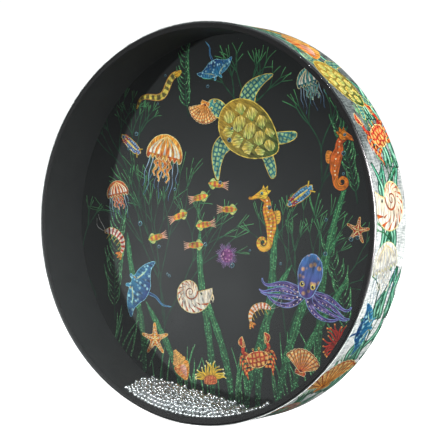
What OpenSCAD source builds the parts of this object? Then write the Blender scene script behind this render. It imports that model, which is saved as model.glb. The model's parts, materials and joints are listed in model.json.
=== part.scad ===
// Ocean drum: a shallow round frame drum, closed by a clear head in front and a printed head
// behind, with loose steel shot inside. It stands on its rim, with its axis along Y.
// The clear head faces -Y, and the lowest point of the rim is at the origin.

/* [Shell] */
// Outside diameter of the finished drum, over the wrap
drum_d = 406.4; // [320:0.1:520]
// Depth of the shell from one bearing edge to the other
shell_depth = 63.5; // [50:0.5:100]
// Wall thickness of the fibre shell
shell_wall = 6.5; // [5:0.1:10]
// Radius of the round on the outer corner of each bearing edge
outer_round = 1.6; // [1:0.1:2.5]
// Radius of the round on the inner corner of each bearing edge
inner_round = 1; // [0.5:0.1:2]

/* [Heads] */
// Thickness of the polyester film of both heads
film_t = 0.25; // [0.15:0.05:0.6]
// Width of the collar of each head, bonded down the outside of the shell
collar_w = 13; // [8:0.5:20]
// Thickness of the glue line under the heads and the wrap
glue_t = 0.1; // [0.05:0.01:0.2]

/* [Wrap] */
// Thickness of the printed wrap round the shell
wrap_t = 0.6; // [0.3:0.05:1.2]
// Width of the open butt seam where the two ends of the wrap meet
seam_w = 0.4; // [0.2:0.1:1]
// Place of the seam, in degrees round the drum from its lowest point
seam_angle = 232; // [150:1:240]

/* [Shot] */
// Diameter of each steel ball
ball_d = 4.5; // [4:0.1:6]
// Clearance between neighbouring balls, and from a ball to the wall
ball_gap = 0.1; // [0.05:0.01:0.2]
// Height of the shot over the lowest point of the inner wall, at the clear head
pile_h = 21; // [16:0.5:26]
// How much lower the shot lies at the printed head
back_drop = 6; // [0:0.5:8]
// Sideways slope of the shot at the clear head, in percent
front_slope = 0; // [-6:0.5:8]
// Sideways slope of the shot at the printed head, in percent
back_slope = -10; // [-14:0.5:8]

/* [Hidden] */
$fn = 64;
// Parts of the pile that come away from each other along the rim, from left to right as seen
// through the clear head, and the slices that each is divided into from head to head
parts = ["left", "middle", "right"];
slice_n = 4;
// Reach of the columns that may hold balls and of the middle part, as shares of the angle that
// a level pile takes up on each side
reach_share = 1.5;
middle_share = 0.2;
// Balls on top of the middle part: places across and along the drum, as shares of that part's
// half width and of the depth
loose_shares = [[-0.9, 0.3], [-0.5, 0.5], [-0.2, 0.16], [0.2, 0.66], [0.5, 0.08], [0.9, 0.38]];
// Balls beyond the pile's right end: the row, as a share of the depth, and the columns past
// the end
rim_shares = [0, 0.75, 0.92];
rim_steps = [2, 1, 2];

// Overrun of the cuts
over = 1;

// Radii from the outside in
rim_r = drum_d / 2;
shell_r = rim_r - wrap_t - glue_t;
rebate_r = shell_r - film_t - glue_t;
inner_r = shell_r - shell_wall;

// Depths, counted from the middle of the drum towards either head
edge_h = shell_depth / 2;
film_in_h = edge_h + glue_t;
film_out_h = film_in_h + film_t;

// Rows of balls run along the depth, columns run round the rim and layers go inwards. Odd
// layers sit in the hollows of even ones.
ball_r = ball_d / 2;
ball_pitch = ball_d + ball_gap;
row_span = 2 * (film_in_h - ball_r - ball_gap);
row_n = floor(row_span / ball_pitch);
row_pitch = row_span / row_n;
layer_step = sqrt(pow(ball_pitch, 2) - (pow(row_pitch, 2) + pow(ball_pitch, 2)) / 4);
layer_n = ceil(pile_h / layer_step) - 1;
first_ring = inner_r - ball_r - ball_gap;
column_angle = 2 * asin(ball_pitch / 2 / (first_ring - layer_n * layer_step));
pile_half_angle = acos(1 - pile_h / inner_r);
column_n = ceil(reach_share * pile_half_angle / column_angle);
middle_column = round(middle_share * pile_half_angle / column_angle);
half_row_n = 2 * row_n + 1;

// Share of the depth at a half row, from 0 at the clear head to 1 at the printed one
function depth_share(half_row) = half_row / (2 * row_n);

// Height of the shot's free surface, from the drum's axis
function shot_top(x, share) =
    pile_h - inner_r - back_drop * share
    + x * (front_slope * (1 - share) + back_slope * share) / 100;

// Centre of the ball in one column and layer of a half row, from the middle of the drum
function ball_at(column, half_row, layer) =
    let (
        ring = first_ring - layer * layer_step,
        angle = (column + (half_row % 2) / 2) * column_angle
    )
    [ring * sin(angle), (depth_share(half_row) - 0.5) * row_span, -ring * cos(angle)];

// True where the pile holds this ball
function held(column, half_row, layer) =
    let (ball = ball_at(column, half_row, layer))
    ball.z + ball_r <= shot_top(ball.x, depth_share(half_row));

// First layer over the pile at one column of a half row
function free_layer(column, half_row, layer) =
    held(column, half_row, layer) ? free_layer(column, half_row, layer + 2) : layer;

// First column past the pile's end at the rim, in one row
function end_column(half_row, column = 0) =
    held(column, half_row, 0) ? end_column(half_row, column + 1) : column;

// Columns of each part of the pile, half rows of one slice and layers of one half row
part_columns = [
    [-column_n:-middle_column - 1],
    [-middle_column:middle_column],
    [middle_column + 1:column_n]
];
function slice_rows(slice) =
    [for (row = [0:half_row_n - 1]) if (floor(row * slice_n / half_row_n) == slice) row];
function layers(half_row) = [half_row % 2:2:layer_n];

// Half row and column nearest to a place on top of the pile, and the layer that is free there
function loose_site(place) =
    let (
        even_row = 2 * round(place.y * row_n),
        odd_row = even_row + (place.y < 0.5 ? 1 : -1),
        column = round(place.x * middle_column),
        even_layer = free_layer(column, even_row, 0),
        odd_layer = free_layer(column, odd_row, 1)
    )
    even_layer < odd_layer ? [column, even_row, even_layer] : [column, odd_row, odd_layer];

// Half row and column of a ball beyond the pile's end
function rim_site(n) =
    let (row = 2 * round(rim_shares[n] * row_n))
    [end_column(row) - 1 + rim_steps[n], row, 0];

// Stands what follows on its rim, with its own Z axis towards the clear head
module standing() {
    translate([0, 0, rim_r]) rotate([90, 0, 0]) children();
}

// What a round takes off an outer corner at the origin
module corner_cut(radius) {
    difference() {
        translate([-radius, -radius]) square(radius + over);
        translate([-radius, -radius]) circle(radius);
    }
}

// Half section of a disc that reaches from the collar's edge to a height, with a round corner
module cap_profile(radius, height, corner, run = 0) {
    difference() {
        translate([0, edge_h - collar_w - run]) square([radius, height - edge_h + collar_w + run]);
        translate([radius, height]) corner_cut(corner);
    }
}

// Section of the shell's wall at one bearing edge: the step that the collar lies in and the
// rounds on both corners
module edge_cuts() {
    translate([rebate_r, edge_h - collar_w]) square([shell_wall, collar_w + over]);
    translate([rebate_r, edge_h]) corner_cut(outer_round);
    translate([inner_r, edge_h]) mirror([1, 0]) corner_cut(inner_round);
}

module shell_profile() {
    difference() {
        translate([inner_r, -edge_h]) square([shell_wall, shell_depth]);
        edge_cuts();
        mirror([0, 1]) edge_cuts();
    }
}

module head_profile() {
    difference() {
        cap_profile(shell_r, film_out_h, outer_round + glue_t + film_t);
        cap_profile(shell_r - film_t, film_in_h, outer_round + glue_t, over);
    }
}

// Fibre hoop with a bearing edge at both ends
module shell() {
    color("#26282a") standing() rotate_extrude() shell_profile();
}

// Printed sheet wrapped once round the shell and over both collars
module wrap() {
    wrap_half_w = edge_h - outer_round;
    color("#9db0ac") standing() difference() {
        rotate_extrude() translate([shell_r + glue_t, -wrap_half_w]) square([wrap_t, 2 * wrap_half_w]);
        rotate([0, 0, seam_angle - 90])
            translate([inner_r, -seam_w / 2, -edge_h]) cube([rim_r, seam_w, shell_depth]);
    }
}

// Clear film head with its collar
module front_head() {
    color([0.85, 0.9, 0.93, 0.25]) standing() rotate_extrude() head_profile();
}

// Printed film head with its collar
module back_head() {
    color("#17191c") standing() mirror([0, 0, 1]) rotate_extrude() head_profile();
}

module ball(site) {
    color("silver") translate([0, 0, rim_r] + ball_at(site[0], site[1], site[2])) sphere(ball_r);
}

// One slice of a part of the pile, counted from the clear head
module shot(part, slice) {
    for (half_row = slice_rows(slice), column = part_columns[part], layer = layers(half_row))
        if (held(column, half_row, layer)) ball([column, half_row, layer]);
}

shell();
wrap();
front_head();
back_head();
for (part = [0:len(parts) - 1], n = [1:slice_n])
    shot(part, n - 1);
for (n = [1:len(loose_shares)])
    ball(loose_site(loose_shares[n - 1]));
for (n = [1:len(rim_shares)])
    ball(rim_site(n - 1));
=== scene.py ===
"""Ocean drum: the looks of its fibre shell, its two film heads, its printed wrap and its shot."""

import json
import logging
import math
import random
from dataclasses import dataclass, field, replace
from enum import Enum
from typing import Callable, Iterable, Sequence

import bmesh
import bpy
import numpy as np
from mathutils import Matrix, Vector
from mathutils.geometry import delaunay_2d_cdt

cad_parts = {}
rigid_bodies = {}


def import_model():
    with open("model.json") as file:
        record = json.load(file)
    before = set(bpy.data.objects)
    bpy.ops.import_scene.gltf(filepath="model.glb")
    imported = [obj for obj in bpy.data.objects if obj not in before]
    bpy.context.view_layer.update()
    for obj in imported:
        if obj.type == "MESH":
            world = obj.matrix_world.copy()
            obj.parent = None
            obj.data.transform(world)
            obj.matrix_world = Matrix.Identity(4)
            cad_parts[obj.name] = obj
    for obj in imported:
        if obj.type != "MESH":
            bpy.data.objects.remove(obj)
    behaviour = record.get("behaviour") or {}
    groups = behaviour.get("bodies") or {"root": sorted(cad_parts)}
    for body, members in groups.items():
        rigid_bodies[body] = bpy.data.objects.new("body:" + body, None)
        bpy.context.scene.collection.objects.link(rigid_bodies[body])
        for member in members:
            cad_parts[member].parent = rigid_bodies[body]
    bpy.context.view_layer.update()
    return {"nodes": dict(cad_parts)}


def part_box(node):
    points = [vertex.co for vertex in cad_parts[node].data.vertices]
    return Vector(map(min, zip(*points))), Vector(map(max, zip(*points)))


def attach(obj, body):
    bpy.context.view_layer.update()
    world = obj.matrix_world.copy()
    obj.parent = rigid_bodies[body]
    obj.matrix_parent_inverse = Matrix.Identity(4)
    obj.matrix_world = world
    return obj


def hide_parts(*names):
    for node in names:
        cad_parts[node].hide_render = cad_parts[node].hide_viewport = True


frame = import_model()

MM = 0.001
MERGED = 0.004 * MM
LOG = logging.getLogger("ocean_drum")

Colour = tuple[float, float, float]
Line = np.ndarray
DARK_RIM: Colour = (0.01, 0.012, 0.012)


class Marks(Enum):
    """Fine marks that the shader draws over a printed shape, as weights of the four kinds."""

    NONE = (0.0, 0.0, 0.0, 0.0)
    STRIPES = (1.0, 0.0, 0.0, 0.0)
    SCALES = (0.0, 1.0, 0.0, 0.0)
    DOTS = (0.0, 0.0, 1.0, 0.0)
    STROKES = (0.0, 0.0, 0.0, 1.0)


@dataclass(frozen=True)
class Ink:
    """Colours of one printed shape, which run from near to far along its axis, and its marks."""

    near: Colour
    far: Colour
    light: Colour = (0.9, 0.9, 0.8)
    marks: Marks = Marks.NONE
    pitch: float = 3.0

    def marked(self, marks: Marks, pitch: float, light: Colour | None = None) -> "Ink":
        """Returns the same colours under other marks."""
        return replace(self, marks=marks, pitch=pitch, light=light or self.light)


@dataclass(frozen=True)
class Shape:
    """One printed area: its outline, its ink and the line that its colours and marks follow.

    The outline of a stroke runs along its left side and back along its right one.
    """

    outline: Line
    ink: Ink
    axis: Line
    stroke: bool = False

    def covers(self, points: Line) -> np.ndarray:
        """Finds out which points lie on the shape.

        Args:
            points: Places on the sheet.

        Returns:
            The numbers of the points that the shape covers.
        """
        edge = self.outline
        near = np.flatnonzero((points.real > edge.real.min()) & (points.real < edge.real.max())
                              & (points.imag > edge.imag.min()) & (points.imag < edge.imag.max()))
        cells = edge[None, :]
        if self.stroke:
            left, right = edge[:len(edge) // 2], edge[:len(edge) // 2 - 1:-1]
            cells = np.stack([left[:-1], right[:-1], right[1:], left[1:]], axis=1)
        start, end = cells, np.roll(cells, -1, axis=1)
        rise = np.where(end.imag == start.imag, 1.0, end.imag - start.imag)
        x, y = points[near].real[:, None, None], points[near].imag[:, None, None]
        meets = start.real + (y - start.imag) * (end - start).real / rise
        crossed = ((start.imag > y) != (end.imag > y)) & (x < meets)
        return near[(crossed.sum(axis=2) % 2 == 1).any(axis=1)]


def thinned(shape: Shape, slack: float = 0.09, longest: int = 12) -> Shape:
    """Leaves out the points of an outline that hardly bend it.

    A stroke loses the same points on its left and on its right side.

    Args:
        shape: The shape.
        slack: Largest distance of a point left out from the new outline, in millimetres.
        longest: Most steps of the old outline that one step of the new one takes.

    Returns:
        The shape with fewer points.
    """
    edge = shape.outline
    sides = np.stack([edge[:len(edge) // 2], edge[:len(edge) // 2 - 1:-1]]) if shape.stroke else edge[None]
    kept = [0]
    for ahead in range(2, sides.shape[1]):
        start, span = sides[:, kept[-1]], sides[:, ahead] - sides[:, kept[-1]]
        between = sides[:, kept[-1] + 1:ahead] - start[:, None]
        off = np.abs(np.imag(between * np.conj(span / np.maximum(np.abs(span), 1e-9))[:, None]))
        if off.max() > slack or ahead - kept[-1] > longest:
            kept.append(ahead - 1)
    kept.append(sides.shape[1] - 1)
    sides = sides[:, kept]
    return replace(shape, outline=np.concatenate([sides[0], sides[1, ::-1]]) if shape.stroke else sides[0])


def curve(points: Iterable[complex], steps: int = 5, closed: bool = True) -> Line:
    """Draws a smooth line through given points.

    Args:
        points: Places on the sheet, in millimetres, as complex numbers.
        steps: Points of the result for each one given.
        closed: Whether the line ends where it starts.

    Returns:
        The points of a Catmull-Rom curve.
    """
    given = np.array(list(points), complex)
    if closed:
        ring = np.concatenate([given[-1:], given, given[:2]])
    else:
        ring = np.concatenate([2 * given[:1] - given[1:2], given, 2 * given[-1:] - given[-2:-1]])
    share = np.arange(steps) / steps
    spans = []
    for a, b, c, d in zip(ring, ring[1:], ring[2:], ring[3:]):
        bend = (2 * a - 5 * b + 4 * c - d) * share**2 + (3 * b - a - 3 * c + d) * share**3
        spans.append(b + 0.5 * ((c - a) * share + bend))
    return np.concatenate(spans if closed else [*spans, given[-1:]])


def oval(centre: complex, wide: float, high: float, turn: float = 0.0, steps: int = 20) -> Line:
    """Draws an ellipse from its centre, its two half sizes and its turn in degrees."""
    angle = np.arange(steps) * math.tau / steps
    return centre + (wide * np.cos(angle) + 1j * high * np.sin(angle)) * np.exp(1j * math.radians(turn))


def polar(radius: np.ndarray | float, degrees: np.ndarray | float) -> Line:
    """Turns a radius and an angle in degrees into a point or a line."""
    return radius * np.exp(1j * np.radians(degrees))


def area(outline: Line) -> float:
    """Returns the area inside a closed line, negative where it runs clockwise."""
    return float(np.imag(np.conj(outline) * np.roll(outline, -1)).sum() / 2)


def grown(outline: Line, width: float) -> Line:
    """Moves a closed line outwards by a width."""
    along = np.roll(outline, -1) - np.roll(outline, 1)
    return outline - np.sign(area(outline)) * 1j * width * along / np.abs(along)


def tapered(steps: int, start: float, middle: float, end: float) -> np.ndarray:
    """Works out half widths that swell from start to middle and thin out again to end.

    Args:
        steps: Number of half widths.
        start: First one.
        middle: One halfway.
        end: Last one.

    Returns:
        The half widths.
    """
    share = np.linspace(0, 1, steps)
    swell = 2 * middle - (start + end) / 2
    return start * (1 - share) ** 2 + 2 * swell * share * (1 - share) + end * share**2


def ribbon(path: Line, heading: Line, half_widths: np.ndarray | float) -> Line:
    """Draws the outline of a stroke, along its left side and back along its right one."""
    side = 1j * heading * half_widths
    return np.concatenate([path + side, (path - side)[::-1]])


@dataclass
class Motif:
    """A drawing made of shapes, each over the ones before it."""

    shapes: list[Shape] = field(default_factory=list)

    def fill(self, outline: Line, ink: Ink, axis: Sequence[complex] = (), edge: float = 0.0,
             rim: Colour = DARK_RIM) -> "Motif":
        """Adds a filled outline.

        Args:
            outline: Its closed outline.
            ink: Its colours and marks.
            axis: Line that they follow, or nothing for the outline's own width.
            edge: Width of a line round it, or 0 for none.
            rim: Colour of that line.

        Returns:
            The drawing itself.
        """
        low, high = np.min(outline.real) + 0j, np.max(outline.real) + 0j
        line = np.array(axis if len(axis) else (low, high), complex)
        if edge:
            self.shapes.append(Shape(grown(outline, edge), Ink(rim, rim), line))
        self.shapes.append(Shape(outline, ink, line))
        return self

    def stroke(self, path: Line, half_widths: np.ndarray | float, ink: Ink, edge: float = 0.0,
               rim: Colour = DARK_RIM) -> "Motif":
        """Adds a brush stroke, whose colours and marks follow its path.

        Args:
            path: Middle of the stroke.
            half_widths: Half its width, all along or for each point.
            ink: Its colours and marks.
            edge: Width of a line round it, or 0 for none.
            rim: Colour of that line.

        Returns:
            The drawing itself.
        """
        heading = np.gradient(path)
        heading = heading / np.maximum(np.abs(heading), 1e-9)
        if edge:
            start, end = path[:1] - edge * heading[:1], path[-1:] + edge * heading[-1:]
            longer = np.concatenate([start, path[1:-1], end])
            self.shapes.append(Shape(ribbon(longer, heading, half_widths + edge), Ink(rim, rim), path, True))
        self.shapes.append(Shape(ribbon(path, heading, half_widths), ink, path, True))
        return self

    def eye(self, centre: complex, size: float, ring: Colour = (0.85, 0.6, 0.08)) -> "Motif":
        """Adds a round eye with a glint.

        Args:
            centre: Its middle.
            size: Its radius.
            ring: Colour round the pupil.

        Returns:
            The drawing itself.
        """
        black, white = (0.004, 0.004, 0.006), (0.9, 0.92, 0.9)
        for place, radius, colour in ((0, 1.0, ring), (0, 0.6, black), (0.2 + 0.25j, 0.22, white)):
            disc = oval(centre + place * size, radius * size, radius * size, steps=12)
            self.fill(disc, Ink(colour, colour))
        return self

    def placed(self, at: complex, turn: float = 0.0, size: float = 1.0, flip: bool = False) -> list[Shape]:
        """Moves the shapes to a place on the sheet.

        Args:
            at: Place of the drawing's own origin, in millimetres.
            turn: Turn against the clock, in degrees.
            size: Scale.
            flip: Whether the drawing is mirrored from left to right first.

        Returns:
            The shapes, in millimetres on the sheet.
        """
        spin = size * np.exp(1j * math.radians(turn))

        def moved(line: Line) -> Line:
            """Moves a line with the drawing."""
            return at + spin * (-np.conj(line) if flip else line)

        return [Shape(moved(s.outline), replace(s.ink, pitch=s.ink.pitch * size), moved(s.axis), s.stroke)
                for s in self.shapes]


GREEN = Ink((0.008, 0.05, 0.022), (0.03, 0.2, 0.075), (0.14, 0.55, 0.2), Marks.DOTS, 1.5)
DEEP_GREEN = Ink((0.008, 0.045, 0.022), (0.02, 0.14, 0.055), (0.12, 0.5, 0.16))
TIP_GREEN = Ink((0.01, 0.06, 0.028), (0.07, 0.34, 0.12), (0.3, 0.75, 0.3), Marks.DOTS, 1.3)
WRAP_GREEN = Ink((0.006, 0.13, 0.07), (0.02, 0.32, 0.18), (0.45, 0.9, 0.65), Marks.STROKES, 2.0)
YELLOW = Ink((0.8, 0.36, 0.012), (0.95, 0.72, 0.06), (1.0, 0.95, 0.5))
ORANGE = Ink((0.62, 0.06, 0.006), (0.95, 0.32, 0.012), (1.0, 0.7, 0.12))
RED = Ink((0.28, 0.006, 0.005), (0.72, 0.04, 0.01), (1.0, 0.42, 0.08))
BLUE = Ink((0.01, 0.03, 0.16), (0.02, 0.2, 0.42), (0.2, 0.6, 0.8))
TEAL = Ink((0.005, 0.06, 0.09), (0.012, 0.26, 0.3), (0.3, 0.75, 0.6))
VIOLET = Ink((0.02, 0.012, 0.1), (0.1, 0.05, 0.3), (0.4, 0.3, 0.7))
WHITE = Ink((0.5, 0.5, 0.46), (0.9, 0.9, 0.84), (1.0, 1.0, 1.0))
CREAM_RIM: Colour = (0.93, 0.68, 0.1)


def turtle() -> Motif:
    """Draws a sea turtle from above, 105 mm long, that swims to the right.

    Returns:
        The drawing.
    """
    drawing = Motif()
    skin = TEAL.marked(Marks.SCALES, 3.2, (0.5, 0.75, 0.3))
    for side in (1, -1):
        front = [20 + 16j, 27 + 27j, 26 + 41j, 15 + 56j, 4 + 63j, 9 + 49j, 11 + 36j, 8 + 24j]
        back = [-28 + 12j, -38 + 20j, -50 + 27j, -53 + 22j, -46 + 12j, -36 + 6j]
        for paddle in (front, back):
            outline = curve(np.real(paddle) + side * 1j * np.imag(paddle))
            drawing.fill(outline, skin, (outline[0], outline[len(outline) // 2]), 0.7, CREAM_RIM)
    head = curve([34 + 5j, 43 + 8.5j, 53 + 6j, 57 + 0j, 53 - 6j, 43 - 8.5j, 34 - 5j])
    drawing.fill(head, skin, (34, 58), 0.7, CREAM_RIM)
    for side in (1, -1):
        drawing.eye(51 + side * 4.5j, 1.7)
    shell = curve([38, 30 + 18j, 12 + 27j, -10 + 25.5j, -30 + 15j,
                   -42, -30 - 15j, -10 - 25.5j, 12 - 27j, 30 - 18j])
    drawing.fill(shell, Ink((0.03, 0.1, 0.02), (0.5, 0.3, 0.03)), (-42, 38), 1.0, CREAM_RIM)
    plate = Ink((0.1, 0.36, 0.08), (0.9, 0.55, 0.06), (1.0, 0.85, 0.3), Marks.STROKES, 2.0)
    for n in range(5):
        x, w = -31 + 14.5 * n, (5.0, 7.2, 8.6, 8.4, 6.4)[n]
        spine = np.array([x - 6.2 + 0.5j * w, x - 3 + 1j * w, x + 3 + 1j * w, x + 6.2 + 0.5j * w])
        hexagon = np.concatenate([spine, np.conj(spine[::-1])])
        drawing.fill(hexagon, plate, (x - 7 + 1j * w, x + 7 - 1j * w))
    for side in (1, -1):
        for n in range(4):
            x, w, top = -24 + 14.6 * n, (6.6, 8.4, 9.0, 8.0)[n], (15.5, 22.0, 23.2, 19.5)[n]
            rib = np.array([x - 5.6 + 1j * (w + 1.2), x + 5.2 + 1j * (w + 1.2), x + 5.8 + 1j * (top - 2),
                            x + 1j * top, x - 5.8 + 1j * (top - 1.5)])
            rib = rib if side == 1 else np.conj(rib)
            drawing.fill(rib, plate, (rib[0], rib[2]))
    return drawing


def jelly(bell: Ink = ORANGE) -> Motif:
    """Draws a jellyfish with a striped bell, 75 mm from its top to the ends of its tentacles.

    Args:
        bell: Colours of its bell.

    Returns:
        The drawing.
    """
    drawing = Motif()
    for n in range(9):
        x, reach = -18 + 4.5 * n, 36 + 11 * math.sin(2.1 * n)
        fall = np.linspace(0, 1, 22)
        path = x * (1 + 0.25 * fall) + 2.2 * np.sin(9 * fall + 1.3 * n) * fall - 1j * reach * fall
        drawing.stroke(path, tapered(22, 0.55, 0.45, 0.2), Ink((0.45, 0.6, 0.7), (0.04, 0.16, 0.35)))
    for n in range(4):
        fall = np.linspace(0, 1, 26)
        drop = 1j * (22 + 5 * (n % 2)) * fall
        path = (-7.5 + 5 * n) * (1 + 0.3 * fall) + 1.6 * np.sin(14 * fall + n) - drop
        width = 2.4 * (1 - 0.75 * fall) * (1 + 0.35 * np.sin(40 * fall))
        drawing.stroke(path, width, bell.marked(Marks.STROKES, 1.5), 0.35, (0.9, 0.8, 0.5))
    rim = [23 - 1j]
    for n in range(8):
        rim += [20.2 - 5.8 * n - 4.2j, 17.3 - 5.8 * n - 0.4j]
    dome = curve([*rim[:-1], -23 - 1j, -22 + 8j, -14 + 19j, 23.5j, 14 + 19j, 22 + 8j], 4)
    drawing.fill(dome, bell.marked(Marks.STROKES, 2.5), (-3j, 23j), 0.7, (0.95, 0.85, 0.4))
    for n in range(7):
        lean = -1.2 + 0.4 * n
        rise = np.linspace(0, 1, 12)
        path = 23 * np.sin(lean) * (1 - rise**2) * 0.88 + 1j * (1.5 + 20.5 * rise)
        drawing.stroke(path, 1.5 * (1 - rise) + 0.15, Ink((0.95, 0.93, 0.8), (0.95, 0.7, 0.2)))
    return drawing


def seahorse(skin: Ink = YELLOW) -> Motif:
    """Draws a seahorse that looks to the left, 66 mm high.

    Args:
        skin: Its colours.

    Returns:
        The drawing.
    """
    drawing = Motif()
    curl = np.linspace(0, 1, 26)
    tail = polar(8.6 * (1 - 0.8 * curl), 10 - 470 * curl) + (-6.5 - 26.5j)
    body = curve([-2.5 + 24j, 3.2 + 17j, 2.6 + 8j, 5.2 - 3j, 5.0 - 14j, 3.4 - 21j], 6, closed=False)
    spine = np.concatenate([body, tail[1:]])
    wide = np.interp(np.linspace(0, 1, len(spine)),
                     [0, 0.12, 0.3, 0.42, 0.55, 0.8, 1], [4.6, 4.0, 7.2, 6.4, 3.8, 2.0, 0.5])
    fin = curve([8 + 3j, 17 + 5.5j, 18 - 2j, 15 - 8j, 8 - 6j], 4)
    drawing.fill(fin, skin.marked(Marks.STROKES, 1.6, (1.0, 0.35, 0.08)), (7, 18), 0.5, (0.8, 0.3, 0.05))
    drawing.stroke(spine, wide, skin.marked(Marks.STRIPES, 2.6, (0.75, 0.16, 0.03)), 0.6)
    for n in range(7):
        at = spine[6 + 4 * n] + 0.8j
        drawing.fill(oval(at, 1.1, 0.8, steps=8), Ink((1, 0.95, 0.6), (1, 0.95, 0.6)))
    crest = np.array([-3 + 29j, 0.5 + 35j, 2 + 31j, 6 + 34j, 5.6 + 29j, 9.5 + 28j, 5 + 24j, 24j])
    drawing.fill(crest, skin, (-3 + 24j, 9 + 34j), 0.4)
    snout = curve([31j, -7 + 28j, -15 + 24.2j, -19 + 24.4j, -19.4 + 21.6j,
                   -14 + 20.6j, -6 + 21.4j, 1 + 20j, 5 + 25j], 4)
    drawing.fill(snout, skin.marked(Marks.DOTS, 2.0, (0.85, 0.3, 0.05)), (-19 + 22j, 5 + 26j), 0.5)
    return drawing.eye(-2.4 + 26.2j, 1.8, (0.1, 0.45, 0.5))


def starfish(skin: Ink = ORANGE) -> Motif:
    """Draws a starfish with five arms, 22 mm from its centre to a tip.

    Args:
        skin: Its colours.

    Returns:
        The drawing.
    """
    drawing = Motif()
    tips = []
    for n in range(5):
        tips += [polar(19, 72 * n - 5), polar(22, 72 * n), polar(19, 72 * n + 5), polar(7.6, 72 * n + 36)]
    drawing.fill(curve(tips, 4), skin.marked(Marks.DOTS, 1.7), (-22, 22), 0.8, (1.0, 0.72, 0.25))
    for n in range(5):
        arm = polar(np.linspace(1, 18.5, 10), 72 * n)
        drawing.stroke(arm, tapered(10, 0.9, 0.6, 0.2), Ink((1, 0.85, 0.35), (1, 0.7, 0.2)))
        for share in (0.3, 0.48, 0.66, 0.84):
            for side in (-1, 1):
                spot = polar(19.5 * share, 72 * n + side * (13 - 9 * share))
                drawing.fill(oval(spot, 0.7, 0.7, steps=8), WHITE)
    return drawing


def scallop(skin: Ink = RED) -> Motif:
    """Draws a scallop shell with eleven ribs, 40 mm wide.

    Args:
        skin: Its colours.

    Returns:
        The drawing.
    """
    drawing = Motif()
    root = -15j
    ears = np.array([-9 - 14j, -8 - 19j, 8 - 19j, 9 - 14j, 4 - 10j, -4 - 10j])
    drawing.fill(ears, skin.marked(Marks.STROKES, 1.6), (-9, 9), 0.6, (0.95, 0.85, 0.55))
    angle = np.linspace(28, 152, 89)
    edge = root + polar(33 + 1.1 * np.abs(np.sin(np.radians((angle - 28) * 180 / 11.27))), angle)
    fan = np.concatenate([[root], edge])
    drawing.fill(fan, Ink((0.2, 0.02, 0.01), (0.5, 0.08, 0.02)), (root, 18j), 0.7, (0.95, 0.8, 0.4))
    banded = Ink(skin.far, (0.95, 0.8, 0.36), (0.85, 0.3, 0.04), Marks.STRIPES, 4.0)
    for n in range(11):
        rib = root + polar(np.linspace(4, 32.2, 12), 33.6 + 11.27 * n)
        drawing.stroke(rib, np.linspace(0.35, 2.3, 12), banded)
    return drawing


def nautilus() -> Motif:
    """Draws a spiral shell with flame stripes, 60 mm across.

    Returns:
        The drawing.
    """
    drawing = Motif()

    def whorl(degrees: np.ndarray | float, share: float = 1.0) -> Line:
        """Places points on the spiral, from its inner edge at share 0 to its outer one at 1.

        Args:
            degrees: Angles round the spiral, up to 360 at its mouth.
            share: Place across it, from 0 to 1.

        Returns:
            The points.
        """
        turns = np.asarray(degrees) / 360
        outer = 30 * 3.0 ** (turns - 1)
        return polar(outer * (1 / 3 + share * 2 / 3), degrees)

    feelers = Ink((0.9, 0.5, 0.2), (0.95, 0.85, 0.6))
    for n in range(7):
        sway = np.linspace(0, 1, 12)
        path = (13 + 2.3 * n) + (2.5 + 0.3 * n) * sway * np.sin(3 * sway + n) - 1j * (17 - abs(n - 3)) * sway
        drawing.stroke(path, tapered(12, 1.3, 1.0, 0.35), feelers, 0.35)
    outline = np.concatenate([whorl(np.linspace(0, 360, 61)), [10.5 - 2j]])
    cream = Ink((0.95, 0.9, 0.75), (0.9, 0.6, 0.3), (0.95, 0.95, 0.9), Marks.STROKES, 3.0)
    drawing.fill(outline, cream, (-30j, 30j), 0.8, (0.95, 0.8, 0.35))
    russet = Ink((0.6, 0.1, 0.02), (0.32, 0.03, 0.01), (0.8, 0.25, 0.05), Marks.STROKES, 2.0)
    for n in range(13):
        start = 30 + 24 * n
        out = start + np.linspace(0, 9, 5)
        flame = np.concatenate([whorl(out), whorl(out[::-1] - 16, 0.62),
                                whorl(np.array([start - 24]), 0.25), whorl(np.array([start - 10]), 0.62)])
        drawing.fill(flame, russet, (flame[0], flame[-2]))
    coil = whorl(np.linspace(-330, 360, 116), 0.0)
    drawing.stroke(coil, np.linspace(0.15, 0.9, len(coil)), Ink((0.25, 0.04, 0.01), (0.5, 0.12, 0.03)))
    return drawing.eye(14.5 - 3.5j, 2.4, (0.9, 0.85, 0.6))


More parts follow.
